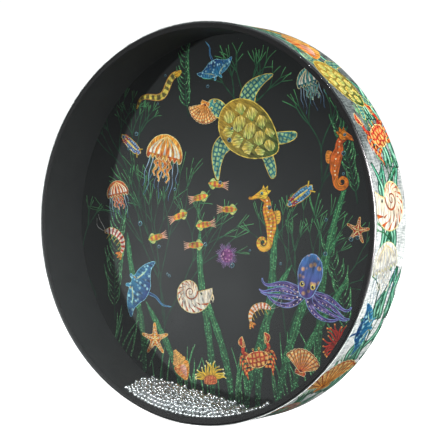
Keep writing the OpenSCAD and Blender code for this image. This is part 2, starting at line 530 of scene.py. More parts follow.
def crab(skin: Ink = RED) -> Motif:
    """Draws a crab from above, 62 mm over its claws.

    Args:
        skin: Its colours.

    Returns:
        The drawing.
    """
    drawing = Motif()
    for side in (1, -1):
        for n in range(4):
            hip = side * (12 - n) + 1j * (2 - 4.2 * n)
            knee = side * (24 - 1.4 * n) + 1j * (7 - 6.8 * n)
            foot = side * (29 - 3.2 * n) + 1j * (-5 - 6.6 * n)
            leg = curve([hip, knee, foot], 6, closed=False)
            drawing.stroke(leg, tapered(len(leg), 1.6, 1.7, 0.3), skin.marked(Marks.STRIPES, 4.0), 0.4)
        arm = curve([side * 11 + 7j, side * 20 + 12j, side * 19 + 20j], 6, closed=False)
        drawing.stroke(arm, tapered(len(arm), 2.0, 2.4, 2.2), skin.marked(Marks.DOTS, 2.0), 0.5)
        for tip, bulge in ((5.5, 3.8), (-1.5, 1.8)):
            claw = curve([side * (16.5 + tip / 2) + 19j, side * (19 + tip) + (20 + bulge) * 1j,
                          side * (18.5 + tip) + 29j, side * 17.5 + 33j, side * (16.8 + tip / 3) + 26j], 4)
            reach = (17 * side + 19j, 17 * side + 33j)
            drawing.fill(claw, skin.marked(Marks.DOTS, 1.8), reach, 0.5, (1, 0.8, 0.3))
    body = curve([10j, 8 + 9.4j, 15 + 6j, 16.5, 11 - 8j, -11j, -11 - 8j, -16.5, -15 + 6j, -8 + 9.4j])
    drawing.fill(body, skin.marked(Marks.SCALES, 4.2, (1.0, 0.62, 0.15)), (-12j, 10j), 0.8, (1, 0.78, 0.3))
    for side in (1, -1):
        drawing.stroke(np.array([4 * side + 9j, 4.6 * side + 13j]), 0.8, skin).eye(4.8 * side + 14j, 1.6)
    return drawing


def octopus(skin: Ink = VIOLET) -> Motif:
    """Draws an octopus with eight curling arms, about 85 mm high.

    Args:
        skin: Its colours.

    Returns:
        The drawing.
    """
    drawing = Motif()
    for n in range(8):
        side = -1 if n < 4 else 1
        spread = (0.25, 0.9, 1.6, 2.4)[n if n < 4 else 7 - n]
        grow = np.linspace(0, 1, 34)
        curl = 1.6 * np.sin(3.2 * grow + spread) * grow + 2.6 * grow**4
        heading = -math.pi / 2 + side * (0.2 + 0.62 * spread) + side * curl
        step = 52 / 33 * np.exp(1j * heading)
        arm = side * (2.5 + 1.5 * spread) - 4j + np.concatenate([[0], np.cumsum(step[:-1])])
        mottled = skin.marked(Marks.STROKES, 2.4)
        drawing.stroke(arm, tapered(34, 4.4, 2.2, 0.4), mottled, 0.5, (0.25, 0.4, 0.8))
        for m in range(2, 30, 3):
            cup = 1.1 * (1 - m / 34)
            inner = arm[m] + 1j * side * np.exp(1j * heading[m]) * (-2.1 * (1 - m / 33))
            drawing.fill(oval(inner, cup, cup, steps=8), Ink((0.9, 0.7, 0.55), (0.9, 0.7, 0.55)))
    mantle = curve([7 - 6j, 11 + 4j, 14 + 18j, 10 + 31j, 37j, -10 + 31j, -14 + 18j, -11 + 4j, -7 - 6j, -9j])
    spotted = Ink(skin.far, (0.05, 0.2, 0.5), (0.9, 0.5, 0.2), Marks.DOTS, 4.5)
    drawing.fill(mantle, spotted, (-9j, 37j), 0.8, (0.3, 0.5, 0.85))
    for side in (1, -1):
        drawing.eye(6.5 * side + 4j, 3.0, (0.95, 0.75, 0.15))
    return drawing


def manta() -> Motif:
    """Draws a ray from above, 92 mm over its wings, that swims upwards.

    Returns:
        The drawing.
    """
    drawing = Motif()
    tail = curve([-18j, 2 - 34j, -2 - 50j, 3 - 64j], 6, closed=False)
    drawing.stroke(tail, np.linspace(2.0, 0.3, len(tail)), BLUE, 0.4, (0.2, 0.55, 0.8))
    half = [3 + 15j, 7 + 21j, 10 + 20j, 9.5 + 14j, 22 + 11j, 36 + 3j, 46 - 9j, 33 - 8j, 20 - 13j, 9 - 19j]
    wings = curve([*half, *(-np.conj(p) for p in half[::-1])], 5)
    back = Ink((0.01, 0.04, 0.2), (0.03, 0.3, 0.5), (0.45, 0.85, 0.9), Marks.DOTS, 4.2)
    drawing.fill(wings, back, (-20j, 22j), 0.7, (0.3, 0.75, 0.9))
    for side in (1, -1):
        fold = curve([side * 6 + 10j, side * 17 + 3j, side * 31 - 3j], 6, closed=False)
        drawing.stroke(fold, tapered(len(fold), 0.3, 1.3, 0.2), Ink((0.8, 0.85, 0.5), (0.2, 0.6, 0.5)))
        drawing.eye(side * 8.4 + 12.5j, 1.5)
    return drawing


def squid() -> Motif:
    """Draws a small squid that darts to the right, 24 mm long.

    Returns:
        The drawing.
    """
    drawing = Motif()
    for n in range(5):
        spread = 1j * np.linspace(0, 1, 8) ** 2 * (n - 2) * 1.4
        path = -4 + 1j * (-2.2 + 1.1 * n) - np.linspace(0, 9, 8) + spread
        drawing.stroke(path, tapered(8, 0.6, 0.5, 0.2), Ink((0.9, 0.3, 0.15), (0.95, 0.6, 0.4)))
    fins = curve([13, 8 + 5.8j, 4 + 3j, 4 - 3j, 8 - 5.8j], 4)
    tinted = Ink((0.9, 0.7, 0.1), (0.1, 0.5, 0.2), (0.95, 0.9, 0.4), Marks.STROKES, 1.4)
    drawing.fill(fins, tinted, (4, 13), 0.35, (0.3, 0.6, 0.15))
    mantle = curve([13.5, 9 + 2.4j, 2 + 3.4j, -4 + 2.6j, -6, -4 - 2.6j, 2 - 3.4j, 9 - 2.4j], 4)
    banded = YELLOW.marked(Marks.STRIPES, 4.2, (0.8, 0.08, 0.04))
    drawing.fill(mantle, banded, (-6, 13), 0.45, (0.12, 0.5, 0.12))
    return drawing.eye(-3.6 + 0.6j, 1.1)


def urchin() -> Motif:
    """Draws a sea urchin, 36 mm over its spines.

    Returns:
        The drawing.
    """
    drawing = Motif()
    for n in range(44):
        reach = 15.5 + 2.5 * math.sin(5.1 * n)
        drawing.stroke(polar(np.linspace(6, reach, 4), n * 360 / 44), np.linspace(0.65, 0.15, 4),
                       Ink((0.12, 0.03, 0.2), (0.55, 0.3, 0.7)))
    shell = Ink((0.1, 0.015, 0.12), (0.35, 0.08, 0.3), (0.85, 0.45, 0.6), Marks.DOTS, 2.2)
    return drawing.fill(oval(0, 9.5, 9), shell, (-9, 9))


def eel() -> Motif:
    """Draws a banded eel that winds to the right, 110 mm long.

    Returns:
        The drawing.
    """
    drawing = Motif()
    run = np.linspace(0, 1, 60)
    path = -52 + 104 * run + 1j * 11 * np.sin(8.5 * run) * (1 - 0.3 * run)
    fin = Ink((0.5, 0.2, 0.02), (0.85, 0.45, 0.05), (1, 0.85, 0.3), Marks.STROKES, 1.6)
    banded = Ink((0.95, 0.75, 0.08), (0.95, 0.8, 0.15), (0.02, 0.02, 0.02), Marks.STRIPES, 8.0)
    drawing.stroke(path + 0.5j, tapered(60, 1.0, 6.0, 5.0), fin, 0.5, (0.3, 0.1, 0.01))
    drawing.stroke(path, tapered(60, 0.6, 4.2, 4.4), banded)
    head = path[-1]
    snout = curve([head - 5 + 4j, head + 4 + 4.4j, head + 9 + 1.5j,
                   head + 8 - 2j, head + 2 - 4.4j, head - 5 - 4j], 4)
    drawing.fill(snout, YELLOW.marked(Marks.DOTS, 2.2, (0.8, 0.3, 0.05)), (head - 5, head + 9), 0.5)
    return drawing.eye(head + 4 + 1.6j, 1.4, (0.9, 0.3, 0.05))


def bubble() -> Motif:
    """Draws an air bubble, 6 mm wide.

    Returns:
        The drawing.
    """
    drawing = Motif().fill(oval(0, 3, 3, steps=16), Ink((0.05, 0.25, 0.35), (0.25, 0.6, 0.7)))
    drawing.fill(oval(0.15 - 0.15j, 2.45, 2.45, steps=16), Ink((0.008, 0.02, 0.03), (0.02, 0.07, 0.09)))
    return drawing.fill(oval(-0.9 + 1.1j, 0.75, 0.5, 40, 8), WHITE)


def anemone(skin: Ink = ORANGE, seed: int = 1) -> Motif:
    """Draws an anemone, 56 mm across, with its foot at the origin.

    Args:
        skin: Its colours.
        seed: Seed of its arms' lengths.

    Returns:
        The drawing.
    """
    chance = random.Random(seed)
    drawing = Motif()
    arms = 17
    for n in range(arms):
        share = 2 * n / (arms - 1) - 1
        reach = chance.uniform(25, 33) * (1 - 0.25 * abs(share))
        out = np.linspace(0, 1, 8)
        heading = 90 - 62 * share
        sway = np.radians(heading - 34 * share * out + 9 * np.sin(5 * out + n))
        path = 9 * share + 6j + reach * out * np.exp(1j * sway)
        drawing.stroke(path, tapered(8, 1.9, 1.5, 0.9), skin, 0.35)
        drawing.fill(oval(path[-1], 1.5, 1.5, steps=8), Ink(skin.light, skin.light))
    foot = curve([-13 + 0j, -11 + 9j, -5 + 12j, 5 + 12j, 11 + 9j, 13 + 0j, 6 - 3j, -6 - 3j])
    return drawing.fill(foot, RED.marked(Marks.STRIPES, 2.2, (0.9, 0.35, 0.1)), (-13, 13), 0.4)


def shrimp(skin: Ink = RED) -> Motif:
    """Draws a banded shrimp, 60 mm long, that faces left.

    Args:
        skin: Its colours.

    Returns:
        The drawing.
    """
    drawing = Motif()
    back = curve([-26 + 4j, -14 + 11j, 0 + 12j, 13 + 7j, 21 - 4j, 22 - 15j], closed=False)
    for n in range(5):
        root = back[5 + 3 * n] - 6j
        drawing.stroke(np.linspace(root, root - 4 - 11j, 5), np.linspace(0.6, 0.25, 5), YELLOW)
    for rise in (12, 4):
        feeler = curve([-24 + 5j, -34 + rise * 1j, -46 + rise * 1.6j, -52 + (rise + 14) * 1j], 4, False)
        drawing.stroke(feeler, np.linspace(0.5, 0.2, len(feeler)), WHITE)
    width = np.interp(np.linspace(0, 1, len(back)), [0, 0.15, 0.5, 0.85, 1], [2.2, 5.6, 6.2, 3.4, 2.0])
    drawing.stroke(back, width, skin.marked(Marks.STRIPES, 5.0, (0.95, 0.9, 0.75)), 0.45, CREAM_RIM)
    for turn in (-150, -112, -76):
        fin = 22 - 15j + oval(7, 7.5, 2.6, steps=10) * np.exp(1j * math.radians(turn)) * 0.9
        drawing.fill(fin, ORANGE.marked(Marks.STROKES, 2.0), edge=0.3)
    return drawing.eye(-23 + 7j, 1.9, (0.9, 0.9, 0.8))


def conch() -> Motif:
    """Draws a spired sea shell, 58 mm long, with its tip up.

    Returns:
        The drawing.
    """
    drawing = Motif()
    whorl = curve([-3 - 30j, -15 - 12j, -17, -8 + 6j, 8 + 6j, 18, 14 - 14j, 5 - 26j])
    flamed = ORANGE.marked(Marks.STROKES, 3.0, (1, 0.8, 0.25))
    drawing.fill(whorl, flamed, (-17, 18), 0.45, CREAM_RIM)
    mouth = curve([1 - 25j, -4 - 12j, -3 - 2j, 6 - 1j, 9 - 8j, 6 - 18j])
    drawing.fill(mouth, Ink((0.7, 0.2, 0.12), (0.95, 0.6, 0.45)))
    for n in range(5):
        wide, base = 15 * 0.72**n, 6 + sum(8 * 0.78**k for k in range(n))
        high = 8 * 0.78**n
        band = curve([-wide + base * 1j, -wide * 0.8 + (base + high) * 1j, wide * 0.8 + (base + high) * 1j,
                      wide + base * 1j, (base - 0.28 * high) * 1j], 3)
        striped = ORANGE.marked(Marks.STRIPES, 1.6, (1, 0.8, 0.25))
        drawing.fill(band, striped, (-wide, wide), 0.4, (0.1, 0.02, 0.01))
    return drawing


def slug(skin: Ink = BLUE) -> Motif:
    """Draws a sea slug, 52 mm long, with a frilled edge and feathered gills.

    Args:
        skin: Its colours.

    Returns:
        The drawing.
    """
    drawing = Motif()
    turn = np.arange(44) * math.tau / 44
    body = 26 * np.cos(turn) + 1j * (8 + 1.5 * np.cos(turn)) * np.sin(turn)
    body *= 1 + 0.045 * np.sin(11 * turn)
    drawing.fill(body, skin.marked(Marks.SCALES, 3.0, (0.3, 0.7, 0.9)), (-26, 26), 1.0, (0.9, 0.6, 0.05))
    ridge = Ink((0.9, 0.6, 0.05), (1.0, 0.85, 0.2))
    drawing.stroke(np.linspace(-19, 17, 8) + 0j, tapered(8, 0.6, 1.8, 0.6), ridge)
    for side in (1, -1):
        horn = np.linspace(19, 26, 5) + 1j * side * np.linspace(3, 10, 5)
        drawing.stroke(horn, np.linspace(1.2, 0.8, 5), YELLOW, 0.3)
        for n in range(4):
            gill = -15 + 9 * np.exp(1j * np.radians(side * (35 + 30 * n))) * np.linspace(0.2, 1, 5)
            drawing.stroke(gill, np.linspace(0.9, 0.4, 5), RED, 0.2)
    return drawing


def kelp(height: float, seed: int, lean: float = 0.0, width: float = 4.2) -> Motif:
    """Draws one blade of kelp that grows up from its origin.

    Args:
        height: Height of the blade in millimetres.
        seed: Seed of its own sway.
        lean: Sideways reach of its tip in millimetres.
        width: Half width of the blade.

    Returns:
        The drawing.
    """
    chance = random.Random(seed)
    phase, waves = chance.uniform(0, 6), chance.uniform(3.5, 5)
    steps = max(24, int(height / 3))
    rise = np.linspace(0, 1, steps)
    path = lean * rise**1.6 + height * 0.035 * np.sin(waves * rise + phase) * rise + 1j * height * rise
    frill = width * (0.55 + 0.45 * np.sin(math.pi * np.clip(rise * 1.02, 0, 1)) ** 0.6)
    frill *= 1 + 0.1 * np.sin(38 * rise * height / 150)
    frill *= np.clip((1 - rise) * height / 12, 0.12, 1) ** 0.7
    vein = Ink((0.01, 0.07, 0.03), (0.18, 0.5, 0.16))
    drawing = Motif().stroke(path, frill, GREEN, 0.3, (0.01, 0.09, 0.035))
    return drawing.stroke(path[1:-3], np.linspace(0.5, 0.2, steps - 4), vein)


def frond(height: float, seed: int, pairs: int = 15, lean: float = 0.0) -> Motif:
    """Draws a feathery weed: a bent stem with leaflets in pairs.

    Args:
        height: Height of the weed in millimetres.
        seed: Seed of its leaflets' lengths and turns.
        pairs: Leaflets on each side.
        lean: Sideways reach of its tip in millimetres.

    Returns:
        The drawing.
    """
    chance = random.Random(seed)
    drawing = Motif()
    rise = np.linspace(0, 1, 18)
    stem = lean * rise**2 + 1j * height * rise
    drawing.stroke(stem, np.linspace(0.9, 0.35, 18), DEEP_GREEN)
    for n in range(pairs):
        share = 0.14 + 0.84 * n / pairs
        root = np.interp(share, rise, stem.real) + 1j * np.interp(share, rise, stem.imag)
        for side in (-1, 1):
            reach = height * (0.23 - 0.19 * abs(share - 0.4)) * chance.uniform(0.75, 1.15)
            angle = 90 - side * chance.uniform(48, 62)
            out = np.linspace(0, 1, 6)
            leaf = root + reach * out * np.exp(1j * np.radians(angle + side * 30 * out))
            drawing.stroke(leaf, tapered(6, 0.3, 0.7, 0.3), TIP_GREEN)
    return drawing


def bush(height: float, seed: int, spread: float = 30.0, ink: Ink = DEEP_GREEN, levels: int = 4) -> Motif:
    """Draws a branching weed that grows up from its origin.

    Args:
        height: Height of the weed in millimetres.
        seed: Seed of its branches.
        spread: Angle between the outer branches of a fork, in degrees.
        ink: Colours from the root to the tips.
        levels: How many times each branch forks.

    Returns:
        The drawing.
    """
    chance = random.Random(seed)
    drawing = Motif()

    def grow(root: complex, heading: float, length: float, width: float, level: int) -> None:
        """Draws a branch and, from its tip, the ones that it forks into.

        Args:
            root: Where the branch starts.
            heading: Its direction there, in degrees.
            length: Its length.
            width: Half its width at the start.
            level: Number of forks before it.
        """
        bend = chance.uniform(-12, 12)
        out = np.linspace(0, 1, 5 if level < 3 else 4)
        twig = root + length * out * np.exp(1j * np.radians(heading + bend * out))
        tint = level / levels
        near = tuple(a + (b - a) * max(tint - 0.25, 0) for a, b in zip(ink.near, ink.far))
        far = tuple(a + (b - a) * tint for a, b in zip(ink.near, ink.light if level == levels else ink.far))
        drawing.stroke(twig, np.linspace(width, width * 0.75, len(twig)), Ink(near, far))
        if level < levels:
            for side in (-1, 1) if level % 2 else (-1, 0.1, 1):
                lean = heading + bend + side * spread * chance.uniform(0.55, 1.0)
                reach = length * chance.uniform(0.68, 0.88)
                grow(twig[-1], lean, reach, width * 0.76, level + 1)

    grow(0, 90 + chance.uniform(-6, 6), height * 0.3, 1.3, 0)
    return drawing


def grass(wide: float, high: float, blades: int, seed: int) -> Motif:
    """Draws a tuft of thin weed, rooted along a line through the origin.

    Args:
        wide: Width of the tuft in millimetres.
        high: Height of its longest blades.
        blades: Number of blades.
        seed: Seed of their places and bends.

    Returns:
        The drawing.
    """
    chance = random.Random(seed)
    drawing = Motif()
    for _ in range(blades):
        root = chance.uniform(-wide / 2, wide / 2)
        rise = np.linspace(0, 1, 7)
        top = high * chance.uniform(0.45, 1.0)
        path = root + top * (1j * rise + chance.uniform(-0.25, 0.25) * rise**2)
        drawing.stroke(path, tapered(7, 0.9, 0.9, 0.25), TIP_GREEN)
    return drawing


@dataclass
class Picture:
    """A printed picture, in millimetres on its sheet."""

    shapes: list[Shape] = field(default_factory=list)

    def put(self, motif: Motif, at: complex, turn: float = 0.0, size: float = 1.0,
            flip: bool = False) -> None:
        """Adds a motif to the picture, at a place, with a turn in degrees and a scale."""
        self.shapes += motif.placed(at, turn, size, flip)


class Reef(Picture):
    """Undersea picture of the printed head, from the head's middle."""

    def __init__(self) -> None:
        """Lays the motifs out, the ones further back first."""
        super().__init__()
        self.plants()
        self.animals()

    def plants(self) -> None:
        """Adds the weeds, from the back to the front."""
        for at, turn, height, seed, spread, levels in (
            (-86 - 172j, 10, 205, 4, 24, 5), (98 + 2j, -14, 135, 9, 28, 4), (-112 + 12j, 20, 130, 12, 24, 5),
            (58 - 176j, -12, 190, 21, 23, 5), (10 + 72j, 6, 110, 31, 30, 4), (-176 - 84j, 22, 110, 8, 24, 4),
        ):
            self.put(bush(height, seed, spread, levels=levels), at, turn)
        for at, turn, height, seed, pairs, lean in (
            (-150 - 108j, 4, 118, 3, 17, 20), (140 - 118j, 6, 105, 5, 15, -18),
            (-52 + 112j, 12, 80, 6, 12, 16), (150 + 20j, 10, 90, 7, 13, -14),
        ):
            self.put(frond(height, seed, pairs, lean), at, turn)
        self.put(grass(120, 60, 22, 2), -40 - 188j)
        self.put(grass(90, 66, 16, 5), 96 - 168j, 14)
        self.put(grass(70, 50, 12, 7), -124 - 148j, -22)
        for at, height, seed, lean, width in (
            (20 - 192j, 150, 1, 58, 4.4), (34 - 190j, 205, 2, 30, 4.0), (58 - 188j, 176, 3, 74, 4.4),
            (2 - 194j, 128, 4, -34, 3.8), (76 - 180j, 126, 6, 62, 3.6), (-62 - 184j, 98, 7, -44, 3.4),
            (-22 - 194j, 186, 8, -16, 3.8), (104 - 164j, 210, 11, 30, 3.6), (-110 - 162j, 150, 13, -22, 3.4),
        ):
            self.put(kelp(height, seed, lean, width), at)

    def animals(self) -> None:
        """Adds the animals and the shells."""
        self.put(turtle(), 22 + 96j, 148, 1.0)
        self.put(jelly(ORANGE), -84 + 70j, -12, 1.0)
        self.put(jelly(RED), -146 + 30j, 10, 0.62)
        self.put(jelly(TEAL), 96 + 142j, 14, 0.66)
        self.put(octopus(), 92 - 66j, -14, 0.98)
        self.put(nautilus(), -50 - 74j, 10, 0.95)
        self.put(manta(), -118 - 70j, 62, 0.74)
        self.put(manta(), -18 + 160j, 200, 0.5)
        self.put(seahorse(YELLOW), 44 + 6j, 6, 0.95)
        self.put(seahorse(ORANGE), 130 + 66j, -8, 0.88, True)
        self.put(crab(), 34 - 140j, 12, 0.78)
        self.put(starfish(ORANGE), -96 - 126j, 20, 0.8)
        self.put(starfish(RED), 150 - 6j, 8, 0.6)
        self.put(scallop(), 88 - 140j, -18, 0.7)
        self.put(scallop(ORANGE), -34 + 116j, 160, 0.62)
        self.put(urchin(), -4 - 34j, 0, 0.8)
        self.put(eel(), -92 + 138j, 30, 0.62)
        self.put(anemone(YELLOW, 3), -24 - 168j, 6, 0.62)
        self.put(anemone(RED, 5), 134 - 122j, 42, 0.66)
        self.put(shrimp(), -150 - 20j, -24, 0.62)
        self.put(shrimp(ORANGE), 36 - 92j, 10, 0.55, True)
        self.put(conch(), -62 - 152j, 28, 0.55)
        self.put(slug(), 84 + 28j, 34, 0.66)
        self.put(slug(VIOLET), -128 + 84j, -40, 0.6)
        schools = (-40 + 26j, -14 + 40j, -66 + 6j, -30 - 2j, -4 + 14j, -92 - 16j, -46 - 24j)
        for n, (at, turn) in enumerate(zip(schools, (12, -6, 20, 8, 0, 14, 4))):
            self.put(squid(), at, turn, 0.95, n % 2 == 1)
        chance = random.Random(8)
        for _ in range(26):
            at = complex(chance.uniform(-150, 150), chance.uniform(-60, 165))
            self.put(bubble(), at, size=chance.uniform(0.35, 0.9))


class Shore(Picture):
    """Undersea picture of the wrap: across the drum, and up round it from its right-hand side."""

    def __init__(self, bottom: float, top: float) -> None:
        """Lays the motifs out between the two ends of the sheet.

        Args:
            bottom: Lower end of the sheet, in millimetres round the drum.
            top: Its upper end.
        """
        super().__init__()
        self.weeds(bottom, top)
        self.animals(bottom, top)

    def weeds(self, bottom: float, top: float) -> None:
        """Adds broad weeds with dark outlines and thin ones between them.

        Args:
            bottom: Lower end of the sheet, in millimetres round the drum.
            top: Its upper end.
        """
        chance = random.Random(3)
        vein = Ink(WRAP_GREEN.light, WRAP_GREEN.light)
        for at in np.arange(bottom - 20, top, 50.0):
            root = complex(chance.uniform(-30, 16), at)
            for _ in range(5):
                path = root + curve([0, chance.uniform(-7, 7) + 14j, chance.uniform(-10, 10) + 30j,
                                     chance.uniform(-18, 18) + 52j], 5, False)
                width = tapered(len(path), 2.0, 3.2, 0.8)
                self.shapes += Motif().stroke(path, width, WRAP_GREEN, 1.1, (0.01, 0.035, 0.025)).shapes
                self.shapes += Motif().stroke(path[2:-3], 0.75, vein).shapes
                root += chance.uniform(5, 11)
            thin = bush(64, int(at) % 89, 26, TIP_GREEN, 3)
            self.put(thin, complex(chance.uniform(-26, 26), at + 12), chance.uniform(-40, 40))

    def animals(self, bottom: float, top: float) -> None:
        """Adds the animals and the shells, in turn.

        Args:
            bottom: Lower end of the sheet, in millimetres round the drum.
            top: Its upper end.
        """
        motifs = (
            (nautilus(), -2, 10, 1.3), (crab(RED), 10, 24, 1.0), (turtle(), 4, 64, 0.8),
            (conch(), 8, -24, 1.1), (seahorse(YELLOW), -8, 8, 0.95), (jelly(RED), 10, -14, 0.9),
            (scallop(YELLOW), -10, 14, 1.25), (octopus(TEAL), 4, -10, 0.74), (shrimp(), 2, 60, 0.95),
            (scallop(ORANGE), -4, 24, 1.2), (manta(), 6, 70, 0.7), (jelly(WHITE), -6, 12, 1.0),
        )
        count = 20
        step = (top - bottom) / count
        for n in range(count):
            motif, across, turn, size = motifs[n % len(motifs)]
            side = 1 if n % 2 else -1
            self.put(motif, complex(side * across, bottom + (n + 0.5) * step), turn * side, size, side < 0)


class Value:
    """A number or colour socket of a shader. An operator on it adds a Math node."""

    def __init__(self, tree: bpy.types.NodeTree, socket: bpy.types.NodeSocket) -> None:
        """Wraps one output socket of a node tree."""
        self.tree = tree
        self.socket = socket

    def math(self, operation: str, *terms: "Value | float") -> "Value":
        """Adds a Math node of this value and further terms.

        Args:
            operation: Name of the operation.
            terms: Its second and third operands.

        Returns:
            The result.
        """
        node = self.tree.nodes.new("ShaderNodeMath")
        node.operation = operation
        for port, term in zip(node.inputs, (self, *terms)):
            if isinstance(term, Value):
                self.tree.links.new(term.socket, port)
            else:
                port.default_value = term
        return Value(self.tree, node.outputs[0])

    def __add__(self, other: "Value | float") -> "Value":
        """Adds."""
        return self.math("ADD", other)

    def __sub__(self, other: "Value | float") -> "Value":
        """Subtracts."""
        return self.math("SUBTRACT", other)

    def __rsub__(self, other: float) -> "Value":
        """Subtracts this value from a number."""
        return (self * -1.0).math("ADD", other)

    def __mul__(self, other: "Value | float") -> "Value":
        """Multiplies."""
        return self.math("MULTIPLY", other)

    __radd__ = __add__
    __rmul__ = __mul__

    def above(self, edge: float, soft: float) -> "Value":
        """Returns 0 below an edge and 1 above it, with a soft step between."""
        return ((self - (edge - soft)) * (0.5 / soft)).clamped()

    def clamped(self) -> "Value":
        """Returns the value kept between 0 and 1."""
        return self.math("MAXIMUM", 0.0).math("MINIMUM", 1.0)


class Recipe:
    """Node tree of one material."""

    FACTOR, COLOUR_A, COLOUR_B = 0, 6, 7
    MIXED = 2

    def __init__(self, owner: bpy.types.Material | bpy.types.World) -> None:
        """Empties the tree of a material or of the world.

        Args:
            owner: The material or the world.
        """
        owner.use_nodes = True
        self.owner = owner
        self.tree = owner.node_tree
        self.tree.nodes.clear()

    def node(self, kind: str, settings: dict[str, object] | None = None,
             inputs: dict[str | int, object] | None = None) -> bpy.types.Node:
        """Adds a node.

        Args:
            kind: Type of the node, without its ShaderNode prefix.
            settings: Properties, which are set before the sockets.
            inputs: Values or links of its input sockets, by name or number.

        Returns:
            The node.
        """
        made = self.tree.nodes.new("ShaderNode" + kind)
        for name, value in (settings or {}).items():
            setattr(made, name, value)
        for port, value in (inputs or {}).items():
            if isinstance(value, Value):
                self.tree.links.new(value.socket, made.inputs[port])
            elif isinstance(value, bpy.types.NodeSocket):
                self.tree.links.new(value, made.inputs[port])
            else:
                made.inputs[port].default_value = value
        return made

    def value(self, node: bpy.types.Node, port: str | int = 0) -> Value:
        """Wraps one output of a node."""
        return Value(self.tree, node.outputs[port])

    def noise(self, place: bpy.types.NodeSocket, scale: float, detail: float = 2.0,
              stretch: tuple[float, float, float] = (1, 1, 1)) -> Value:
        """Adds cloudy noise.

        Args:
            place: Coordinates that it is drawn on.
            scale: Number of clouds along one unit of them.
            detail: Number of finer layers of clouds.
            stretch: Factors on the coordinates, below 1 where the clouds are drawn out.

        Returns:
            The noise, between 0 and 1.
        """
        shift = self.node("Mapping", {"vector_type": "POINT"}, {"Vector": place, "Scale": stretch})
        clouds = {"Vector": shift.outputs[0], "Scale": scale, "Detail": detail}
        return self.value(self.node("TexNoise", {}, clouds))

    def mixed(self, factor: Value | float, first: object, second: object,
              blend: str = "MIX") -> bpy.types.NodeSocket:
        """Mixes two colours.

        Args:
            factor: Share of the second one.
            first: Colour or socket.
            second: Colour or socket.
            blend: Name of the way they are mixed.

        Returns:
            The mixed colour.
        """
        colours = {self.FACTOR: factor, self.COLOUR_A: first, self.COLOUR_B: second}
        made = self.node("Mix", {"data_type": "RGBA", "blend_type": blend}, colours)
        return made.outputs[self.MIXED]

    def bump(self, height: Value, strength: float, distance: float) -> bpy.types.NodeSocket:
        """Returns normals raised by a height."""
        bump = {"Strength": strength, "Distance": distance, "Height": height}
        return self.node("Bump", {}, bump).outputs[0]

    def finished(self, shader: bpy.types.NodeSocket) -> bpy.types.Material:
        """Joins the shader to the output and returns the material."""
        self.node("OutputMaterial", {}, {"Surface": shader})
        return self.owner


def rgba(colour: Colour) -> tuple[float, float, float, float]:
    """Returns a colour with full cover."""
    return (*colour, 1.0)


@dataclass(frozen=True)
class FibreFinish:
    """Black resin-bonded fibre: matt, mottled, with faint lines round the hoop and blacker edges."""

    colour: Colour = (0.032, 0.034, 0.035)
    worn: Colour = (0.043, 0.045, 0.046)
    edge: Colour = (0.013, 0.012, 0.012)
    edge_from: float = 0.0313
    edge_soft: float = 0.0003
    mottling: float = 60.0
    grain: float = 900.0
    relief: float = 0.0001
    roughness: float = 0.6
    specular: float = 0.08

    def paint(self) -> bpy.types.Material:
        """Sets up the finish.

        Returns:
            The material.
        """
        recipe = Recipe(bpy.data.materials.new("black_fibre"))
        place = recipe.node("TexCoord").outputs["Object"]
        mottle = recipe.noise(place, self.mottling, 4.0)
        fibres = recipe.noise(place, self.grain, 2.0, (1.0, 0.25, 1.0))
        worn = (mottle * 0.6 + fibres * 0.4).above(0.52, 0.16)
        wall = recipe.mixed(worn, rgba(self.colour), rgba(self.worn))
        depth = recipe.value(recipe.node("SeparateXYZ", {}, {0: place}), 1).math("ABSOLUTE")
        colour = recipe.mixed(depth.above(self.edge_from, self.edge_soft), wall, rgba(self.edge))
        shader = recipe.node("BsdfPrincipled", {}, {
            "Base Color": colour, "Roughness": fibres * 0.16 + (self.roughness - 0.08),
            "Specular IOR Level": self.specular,
            "Normal": recipe.bump(fibres, 0.25, self.relief)})
        return recipe.finished(shader.outputs[0])


